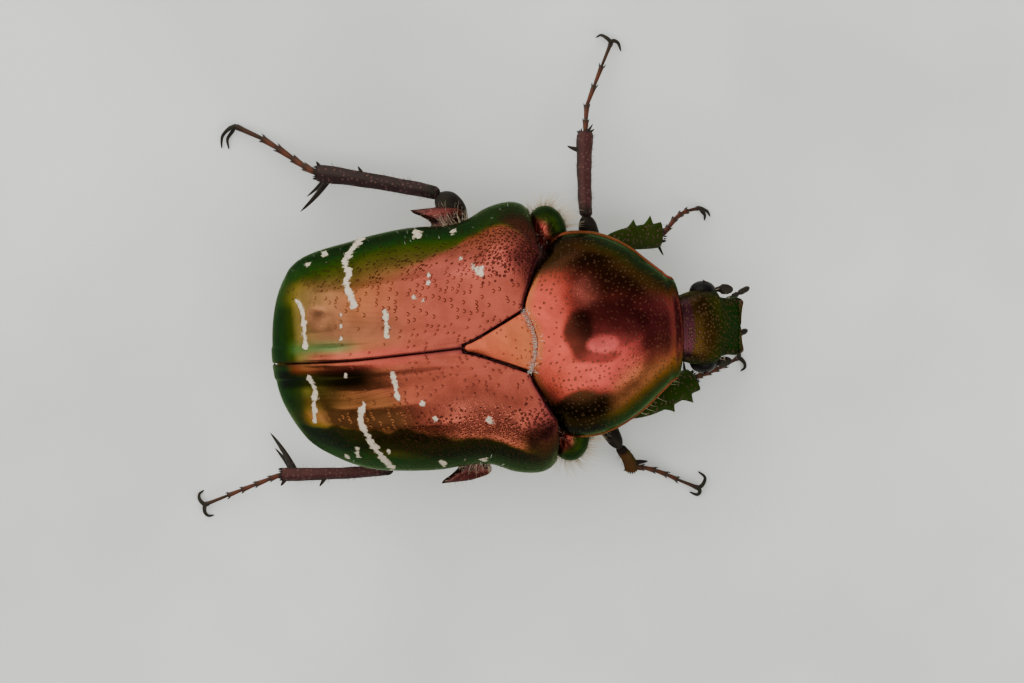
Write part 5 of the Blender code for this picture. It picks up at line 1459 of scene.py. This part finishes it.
class CHAFER_OT_legs(bpy.types.Operator):
    """Six legs: hips, thighs, toothed shins and five-jointed feet with two claws"""

    bl_idname = "chafer.legs"
    bl_label = "Legs"

    def execute(self, context):
        under, colours = context.scene.chafer_underside, context.scene.chafer_shell
        horn = shell_material("leg metal", pit_scale=5.0, pit_radius=0.28, pit_depth=0.02, pit_shading=0.5,
                              roughness=0.44, metallic=0.15, specular=0.2, dot=(0.16, 0.07, 0.065))
        foot_horn = shell_material("foot horn", pit_scale=9.0, pit_depth=0.008, roughness=0.36, metallic=0.1,
                                   specular=0.3)
        for leg, size in LEGS.items():
            size = {**size, **LEG_DETAILS[leg]}
            self.thigh(leg, size, horn, under, colours)
            self.shin(leg, size, horn, under, colours)
            self.foot(leg, size, foot_horn, under)
            if size["coxa"]:
                rings = ball_rings(size["coxa"], size["coxa_radii"], 30, 48)
                hip = Solid().loft(rings, tint=(*under.bronze, 1.0), pits=0.5, hair=0.4)
                hip.finish(f"hip_{leg}", horn, (f"coxa_{leg}",), "bronze_underside")
        return {"FINISHED"}

    def thigh(self, leg, size, horn, under, colours):
        hip, knee = np.array(size["hip"]), np.array(size["knee"])
        share, draw = rounded(60, 0.16, 0.09)
        path = smooth_path((hip, *size.get("mids", ()), knee), 61)
        path = np.stack([np.interp(share * 60, np.arange(61), path[:, k]) for k in range(3)], -1)
        path[:, 2] += 0.12 * np.sin(math.pi * share)
        width = curve(FEMUR_PROFILE, share) * size["femur_width"] * draw
        width *= 1 + (size.get("broad", 1.0) - 1) * step(0.5, 0.9, share)
        rings = tube_rings(path, width, np.minimum(width, 0.5) * 0.75, (1, 0, 0), 48)
        turn = np.linspace(0, 2 * math.pi, 48, endpoint=False)[None, :] * np.ones((60, 1))
        tint = paint((60, 48), under.leg, (colours.plum, 0.5 * step(0.3, 0.9, np.abs(np.sin(turn)))),
                     (np.array(under.black) * 0.7, 0.97 * step(0.7, 0.84, share)[:, None]))
        hair = (0.2 + 0.8 * bell(np.abs(np.cos(turn)), 1.0, 0.2)) * step(0.6, 0.4, share)[:, None]
        pits = 0.55 * step(0.9, 0.75, share)[:, None] * np.ones(48)
        solid = Solid().loft(rings, tint=tint, pits=pits, hair=hair)
        solid.finish(f"thigh_{leg}", horn, (f"femur_{leg}",), "bronze_underside")

    def shin(self, leg, size, horn, under, colours):
        knee, apex = np.array(size["knee"]), np.array(size["apex"])
        along = unit(apex - knee)
        outer = np.array(size["outer"])
        outer = unit(outer - along * (outer @ along))
        digging = leg.startswith("front")
        rows, sides = (220, 40) if digging else (90, 40)
        share = np.linspace(0, 1, rows)
        draw = dome(share / 0.05, 0.002) * dome((1 - share) / 0.03, 0.002)
        first = size.get("start", 0.02)
        path = knee + (apex - knee) * (first + (1.01 - first) * share)[:, None]
        path += outer * (0.05 * np.sin(math.pi * share))[:, None]
        profile = BLADE_PROFILE if digging else TIBIA_PROFILE
        width = curve(profile, share) * size["tibia_width"] * draw * size["slim"]
        turn = np.linspace(0, 2 * math.pi, sides, endpoint=False)[None, :] * np.ones((rows, 1))
        rings = tube_rings(path, width, width * (0.38 if digging else 0.8), outer, sides)
        if digging:
            tooth = np.zeros(rows)
            for place, reach in BLADE_TEETH:
                rise = np.clip(1 - (place - share) / 0.1, 0, 1) ** 1.5
                fall = np.clip(1 - (share - place) / 0.055, 0, 1) ** 1.3
                tooth += reach * np.where(share < place, rise, fall)
            reach = tooth[:, None] * np.clip(np.cos(turn), 0, 1) ** 3
            rings = rings + outer * reach[..., None] + along * (0.1 * reach)[..., None]
        else:
            ribs = 1 + 0.05 * np.cos(turn * 5) * step(0.05, 0.2, share)[:, None]
            ribs = ribs + 0.05 * rough(share[:, None] * 25, turn * 2, 1.0, len(leg))
            rings = path[:, None, :] + (rings - path[:, None, :]) * ribs[..., None]
        base = np.array(colours.green) * 0.45 if digging else under.leg
        steep = abs(along[2]) > 0.8
        if steep:
            base = STEEP_SHIN_BROWN
            horn = shell_material("steep shin horn", pit_scale=5.0, pit_depth=0.02, roughness=0.6, metallic=0.0,
                                  specular=0.0)
        tint = paint(
            # The rose on one side of the shin is a painted highlight.
            (rows, sides), base, (colours.rose, (0.02 if digging else 0.08) * step(0.2, 0.9, np.sin(turn))),
            (np.array(under.black) * 0.6, 0.9 * step(0.16, 0.04, share)[:, None]),
        )
        hair = (0.3 + 0.7 * bell(np.abs(np.cos(turn)), 1.0, 0.3)) * step(0.02, 0.12, share)[:, None]
        solid = Solid().loft(rings, tint=tint, pits=0.2 if steep else 0.75,
                             hair=hair * (0.4 if digging or steep else 1))
        dark = dict(tint=(*under.black, 1.0), pits=0.3)
        for place, out, on, radius, down in SPURS[leg.split("_")[0]]:
            root = knee + (apex - knee) * place
            thorn(solid, root, root + outer * out + along * on - np.array((0, 0, down)), radius,
                  bend=along * (-0.05 * abs(out)), **dark)
        rng = np.random.default_rng(len(leg))
        for k in range(SHIN_BRISTLES):
            angle = 2 * math.pi * k / SHIN_BRISTLES
            side = outer * math.cos(angle) + np.cross(along, outer) * math.sin(angle)
            root = apex + side * min(width[-6], 0.3) * 0.8 - along * 0.06
            thorn(solid, root, root + along * rng.uniform(0.1, 0.18) + side * 0.03, 0.025, sides=5, count=4, **dark)
        solid.finish(f"shin_{leg}", horn, (f"tibia_{leg}",), "bronze_underside")

    def foot(self, leg, size, horn, under):
        apex, tip = np.array(size["apex"]), np.array(size["claws"])
        middle, end = (np.array(p) for p in size["foot"])
        end = end + (tip - end) * 0.7 + (0, 0, 0.2)
        tint = (*under.black, 1.0)
        stops = [(1 - w) ** 2 * apex + 2 * w * (1 - w) * middle + w**2 * end for w in FOOT_JOINTS]
        if "joints" in size:
            stops = [apex, *(np.array(p) for p in size["joints"])]
            end = stops[-1]
        radius = TARSUS_RADIUS * (1.22 if leg == "hind_left" else 0.92)
        solid = Solid()
        rng = np.random.default_rng(len(leg) + 40)
        for k, (a, b) in enumerate(zip(stops[:-1], stops[1:])):
            ahead = unit(b - a)
            share, draw = rounded(26, 0.1, 0.08)
            path = a - ahead * 0.05 + (b - a + ahead * 0.08) * share[:, None]
            last = k == len(stops) - 2
            width = curve(LAST_JOINT_PROFILE if last else JOINT_PROFILE, share) * (radius - 0.008 * k) * draw
            brown = bell(share, 0.45, 0.25)[:, None] * (0.4 if last else 0.9)
            solid.loft(tube_rings(path, width, width * 0.9, (0.1, 0.2, 1), 22),
                       tint=paint((26, 22), under.black, (under.foot, brown)), hair=0.5)
            if not last:
                side = unit(np.cross(ahead, (0, 0, 1)))
                for angle in JOINT_BRISTLES:
                    out = side * math.cos(angle) + np.cross(side, ahead) * math.sin(angle)
                    root = b + out * radius * 0.75 - ahead * 0.04
                    thorn(solid, root, root + ahead * rng.uniform(0.08, 0.14) + out * 0.03, 0.02, sides=5, count=4,
                          tint=tint)
        ahead = unit((end - stops[4]) * (1, 1, 0))
        side = unit(np.array((-ahead[1], ahead[0], 0.0)))
        claws = size.get("hooks") or [
            [end + ahead * on + side * (sign * out) + (0, 0, up) for on, out, up in CLAW_PATH] for sign in (1, -1)
        ]
        for claw in claws:
            share = np.linspace(0, 1, 24)
            path = smooth_path([end - ahead * 0.08, end + ahead * 0.04, *claw], 24)
            width = 0.07 * np.clip(1 - share, 0, 1) ** 0.55 + 0.012
            solid.loft(tube_rings(path, width, width * 1.2, (0, 0, 1), 12), tint=tint)
        for held in solid.points:
            held[:, 2] = np.maximum(held[:, 2], 0.0)
        solid.finish(f"foot_{leg}", horn, (f"tarsus_{leg}",), "black_horn")


# Hair


def hair_tree():
    """Geometry nodes that set bent, tapering hairs on the parts of a skin that call for them."""
    name = "Hair coat"
    if name in bpy.data.node_groups:
        return bpy.data.node_groups[name]
    tree = bpy.data.node_groups.new(name, "GeometryNodeTree")
    for label, kind, default in (
        ("Geometry", "NodeSocketGeometry", None), ("Hairs per square metre", "NodeSocketFloat", 1e7),
        ("Length", "NodeSocketFloat", 0.0008), ("Thickness", "NodeSocketFloat", 1e-5),
        ("Lie", "NodeSocketVector", (0, 0, 0)), ("Seed", "NodeSocketInt", 1),
        ("Mask", "NodeSocketString", "hair"), ("Material", "NodeSocketMaterial", None),
    ):
        socket = tree.interface.new_socket(label, in_out="INPUT", socket_type=kind)
        if default is not None:
            socket.default_value = default
    tree.interface.new_socket("Geometry", in_out="OUTPUT", socket_type="NodeSocketGeometry")
    given, end = tree.nodes.new("NodeGroupInput").outputs, tree.nodes.new("NodeGroupOutput")
    weight = wire(tree, "GeometryNodeInputNamedAttribute", {"Name": given["Mask"]}, data_type="FLOAT")
    weight = weight.outputs["Attribute"]
    density = maths(tree, "MULTIPLY", weight, given["Hairs per square metre"])
    spread = wire(tree, "GeometryNodeDistributePointsOnFaces", {"Mesh": given["Geometry"], "Density": density,
                  "Seed": given["Seed"]})
    jitter = wire(tree, "FunctionNodeRandomValue", {"Min": (-0.45, -0.45, -0.45), "Max": (0.45, 0.45, 0.45),
                  "Seed": given["Seed"]}, data_type="FLOAT_VECTOR")
    lean = wire(tree, "ShaderNodeVectorMath", {0: spread.outputs["Normal"], 1: given["Lie"]}, operation="ADD")
    aim = wire(tree, "ShaderNodeVectorMath", {0: lean.outputs[0], 1: jitter.outputs[0]}, operation="ADD")
    turn = wire(tree, "FunctionNodeAlignRotationToVector", {"Vector": aim.outputs[0]}, axis="Z")
    cone = wire(tree, "GeometryNodeMeshCone", {"Vertices": 3, "Side Segments": 3, "Fill Segments": 1,
                "Radius Top": 0.12, "Radius Bottom": 1.0, "Depth": 1.0}, fill_type="TRIANGLE_FAN")
    place = wire(tree, "GeometryNodeInputPosition")
    parts = wire(tree, "ShaderNodeSeparateXYZ", {0: place.outputs[0]})
    wide = maths(tree, "MULTIPLY", parts.outputs[0], given["Thickness"])
    deep = maths(tree, "MULTIPLY", parts.outputs[1], given["Thickness"])
    tall = maths(tree, "MULTIPLY", parts.outputs[2], given["Length"])
    sweep = maths(tree, "MULTIPLY", maths(tree, "POWER", parts.outputs[2], 2.0), given["Length"])
    swept = maths(tree, "MULTIPLY_ADD", sweep, 0.25, wide)
    shape = wire(tree, "ShaderNodeCombineXYZ", {0: swept, 1: deep, 2: tall})
    hair = wire(tree, "GeometryNodeSetPosition", {"Geometry": cone.outputs["Mesh"], "Position": shape.outputs[0]})
    size = wire(tree, "FunctionNodeRandomValue", {2: 0.45, 3: 1.0, "Seed": given["Seed"]}, data_type="FLOAT")
    many = wire(tree, "GeometryNodeInstanceOnPoints", {"Points": spread.outputs["Points"],
                "Instance": hair.outputs[0], "Rotation": turn.outputs[0], "Scale": size.outputs[1]})
    real = wire(tree, "GeometryNodeRealizeInstances", {0: many.outputs[0]})
    done = wire(tree, "GeometryNodeSetMaterial", {"Geometry": real.outputs[0], "Material": given["Material"]})
    tree.links.new(done.outputs[0], end.inputs[0])
    return tree


def grow_hair(name, skin_name, material, number, length, thickness, lie, seed, mask="hair"):
    """Grows a coat on a finished piece as a mesh of its own, with the texture map that the export reads."""
    skin = bpy.data.objects[skin_name]
    coat = bpy.data.objects.new(name, skin.data.copy())
    bpy.context.scene.collection.objects.link(coat)
    tree = hair_tree()
    modifier = coat.modifiers.new("Hair coat", "NODES")
    modifier.node_group = tree
    given = {
        "Hairs per square metre": number * 1e6, "Length": length, "Thickness": thickness, "Lie": lie, "Seed": seed,
        "Material": material, "Mask": mask,
    }
    for item in tree.interface.items_tree:
        if item.item_type == "SOCKET" and item.in_out == "INPUT" and item.name in given:
            modifier[item.identifier] = given[item.name]
    graph = bpy.context.evaluated_depsgraph_get()
    mesh = bpy.data.meshes.new_from_object(coat.evaluated_get(graph))
    coat.modifiers.clear()
    coat.data = mesh
    numbers = np.arange(len(mesh.vertices))
    roots = np.zeros(len(numbers) * 2, np.float32)
    mesh.attributes["root_uv"].data.foreach_get("vector", roots)
    loops = np.zeros(len(mesh.loops), np.int32)
    mesh.loops.foreach_get("vertex_index", loops)
    uv = roots.reshape(-1, 2) * 0.99 + 0.003 * np.stack((numbers % 3 / 3, numbers // 3 % 4 / 4), -1)
    for layer in list(mesh.uv_layers):
        mesh.uv_layers.remove(layer)
    layer = mesh.uv_layers.new(name="OFBake")
    layer.data.foreach_set("uv", uv[loops].ravel().astype(np.float32))
    for key in ("hair", "long_hair", "flat", "tint", "pits", "shoes", "root_uv", "mark", "striae", "UVMap"):
        if key in mesh.attributes:
            mesh.attributes.remove(mesh.attributes[key])
    mesh.shade_smooth()
    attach(coat, BODY)


class CHAFER_OT_hair(bpy.types.Operator):
    """Pale hairs on the sides, the underside, the legs and the edges of the plates"""

    bl_idname = "chafer.hair"
    bl_label = "Hair"

    def execute(self, context):
        sizes = context.scene.chafer_hair
        pale = plain_material("pale hair", sizes.colour, 0.45)
        white = plain_material("white hair", WHITE_HAIR, 0.5)
        brown = plain_material("leg hair", LEG_HAIR, 0.5, specular=0.25)
        # Each coat: its name, the piece it grows on, its finish, shares of the number and the length, and its lie.
        coats = [
            ("hair_middle_body", "middle_body", pale, 1.6, 1.1, (-0.3, 0.0, -0.1)),
            ("hair_prothorax", "prothorax_shield", pale, 0.55, 0.8, (0.2, 0.0, -0.1)),
            ("hair_hind_body", "hind_body", pale, 0.7, 0.5, (-0.8, 0.0, 0.0)),
            ("hair_end_plate", "end_plate", pale, 0.6, 0.35, (-0.2, 0.0, -0.5)),
            ("hair_head", "head_shield", pale, 1.0, 0.4, (0.2, 0.0, 0.1)),
            ("hair_scutellum", "scutellum_plate", white, 45.0, 0.36, (-0.9, 0.0, 0.0)),
        ]
        for side in ("left", "right"):
            coats += [
                (f"hair_shoulder_{side}", f"shoulder_plate_{side}", white, 5.0, 0.8, (-0.2, 0.0, 0.7)),
                (f"hair_side_{side}", f"shoulder_plate_{side}", pale, 8.0, 1.1, (0.35, 0.0, 0.25), "long_hair"),
                (f"hair_hip_plate_{side}", f"hip_plate_{side}", pale, 1.6, 0.5, (-0.4, 0.0, 0.2)),
                (f"hair_wing_case_{side}", f"wing_case_{side}", white, 0.35, 0.2, (-0.7, 0.0, 0.0)),
                (f"hair_feeler_{side}", f"feeler_{side}", pale, 3.0, 0.3, (0.5, 0.0, 0.0)),
            ]
        for leg, size in LEGS.items():
            along = unit(np.array(size["apex"]) - np.array(size["knee"]))
            thigh = unit(np.array(size["knee"]) - np.array(size["hip"]))
            coats += [
                (f"hair_thigh_{leg}", f"thigh_{leg}", pale, 1.0, 0.6, tuple(thigh * 0.6)),
                (f"hair_shin_{leg}", f"shin_{leg}", brown, 3.0, 0.3, tuple(along * 0.9)),
                (f"hair_foot_{leg}", f"foot_{leg}", brown, 1.5, 0.16, tuple(along * 1.1)),
            ]
            if size["coxa"]:
                coats.append((f"hair_hip_{leg}", f"hip_{leg}", pale, 0.8, 0.5, (0.0, 0.0, -0.4)))
        for seed, (name, skin, material, share, length, lie, *mask) in enumerate(coats):
            thin = 0.7 if material is brown else 1.0
            grow_hair(name, skin, material, sizes.number * share, sizes.length * length, sizes.thickness * thin,
                      lie, seed + 1, *mask)
        return {"FINISHED"}


# Stage


class CHAFER_OT_stage(bpy.types.Operator):
    """A pale floor, soft lights and the camera"""

    bl_idname = "chafer.stage"
    bl_label = "Stage"

    def execute(self, context):
        sizes = context.scene.chafer_stage
        scene = context.scene
        mesh = bpy.data.meshes.new("floor")
        corners = [(x * FLOOR_REACH, y * FLOOR_REACH, 0) for x, y in ((-1, -1), (1, -1), (1, 1), (-1, 1))]
        mesh.from_pydata(corners, [], [(0, 1, 2, 3)])
        floor = bpy.data.objects.new("floor", mesh)
        scene.collection.objects.link(floor)
        mesh.materials.append(plain_material("floor paper", sizes.floor, 0.85, grain=0.01, grain_scale=900.0))
        point, target = ((np.array(p) - ORIGIN) * MM for p in (CAMERA_POINT, CAMERA_TARGET))
        ahead = unit(target - point)
        up = np.array((math.sin(CAMERA_TURN), math.cos(CAMERA_TURN), 0.0))
        right = unit(np.cross(ahead, up))
        up = np.cross(right, ahead)
        data = bpy.data.cameras.new("photo camera")
        data.lens, data.sensor_width = CAMERA_LENS, CAMERA_SENSOR
        data.clip_start, data.clip_end = 0.01, 5.0
        camera = bpy.data.objects.new("photo camera", data)
        camera.matrix_world = Matrix((
            (right[0], up[0], -ahead[0], point[0]), (right[1], up[1], -ahead[1], point[1]),
            (right[2], up[2], -ahead[2], point[2]), (0, 0, 0, 1),
        ))
        scene.collection.objects.link(camera)
        scene.camera = camera
        for name, place, aim, size, share, colour in LIGHTS:
            lamp = bpy.data.lights.new(name, "AREA")
            lamp.shape = "RECTANGLE"
            lamp.size, lamp.size_y = size
            lamp.energy, lamp.color = sizes.key * share, colour
            light = bpy.data.objects.new(name, lamp)
            light.location = place
            light.rotation_euler = (Vector(aim) - Vector(place)).to_track_quat("-Z", "Y").to_euler()
            scene.collection.objects.link(light)
        world = bpy.data.worlds.new("soft surround")
        world.use_nodes = True
        back = world.node_tree.nodes["Background"]
        back.inputs[0].default_value = (*COOL_LIGHT, 1.0)
        back.inputs[1].default_value = sizes.sky
        scene.world = world
        return {"FINISHED"}


PIECES = (
    CHAFER_OT_elytra, CHAFER_OT_scutellum, CHAFER_OT_prothorax, CHAFER_OT_thorax, CHAFER_OT_abdomen,
    CHAFER_OT_side_plates, CHAFER_OT_head, CHAFER_OT_feelers, CHAFER_OT_legs, CHAFER_OT_hair, CHAFER_OT_stage,
)


class CHAFER_PT_panel(bpy.types.Panel):
    """The sidebar's list of sizes, colours and pieces"""

    bl_label = "Rose Chafer"
    bl_idname = "CHAFER_PT_panel"
    bl_space_type = "VIEW_3D"
    bl_region_type = "UI"
    bl_category = "Chafer"

    def draw(self, context):
        for group in GROUPS:
            box = self.layout.box()
            held = getattr(context.scene, GROUPS[group])
            for key in group.__annotations__:
                box.prop(held, key)
        for piece in PIECES:
            self.layout.operator(piece.bl_idname)


GROUPS = {
    ChaferShell: "chafer_shell", ChaferUnderside: "chafer_underside", ChaferHair: "chafer_hair",
    ChaferStage: "chafer_stage",
}


def register():
    for group, name in GROUPS.items():
        bpy.utils.register_class(group)
        setattr(bpy.types.Scene, name, bpy.props.PointerProperty(type=group))
    for piece in (*PIECES, CHAFER_PT_panel):
        bpy.utils.register_class(piece)


def unregister():
    for piece in reversed((*PIECES, CHAFER_PT_panel)):
        bpy.utils.unregister_class(piece)
    for group, name in GROUPS.items():
        delattr(bpy.types.Scene, name)
        bpy.utils.unregister_class(group)


def main():
    """Builds every piece."""
    register()
    for piece in PIECES:
        area, name = piece.bl_idname.split(".")
        getattr(getattr(bpy.ops, area), name)()


if __name__ == "__main__":
    main()
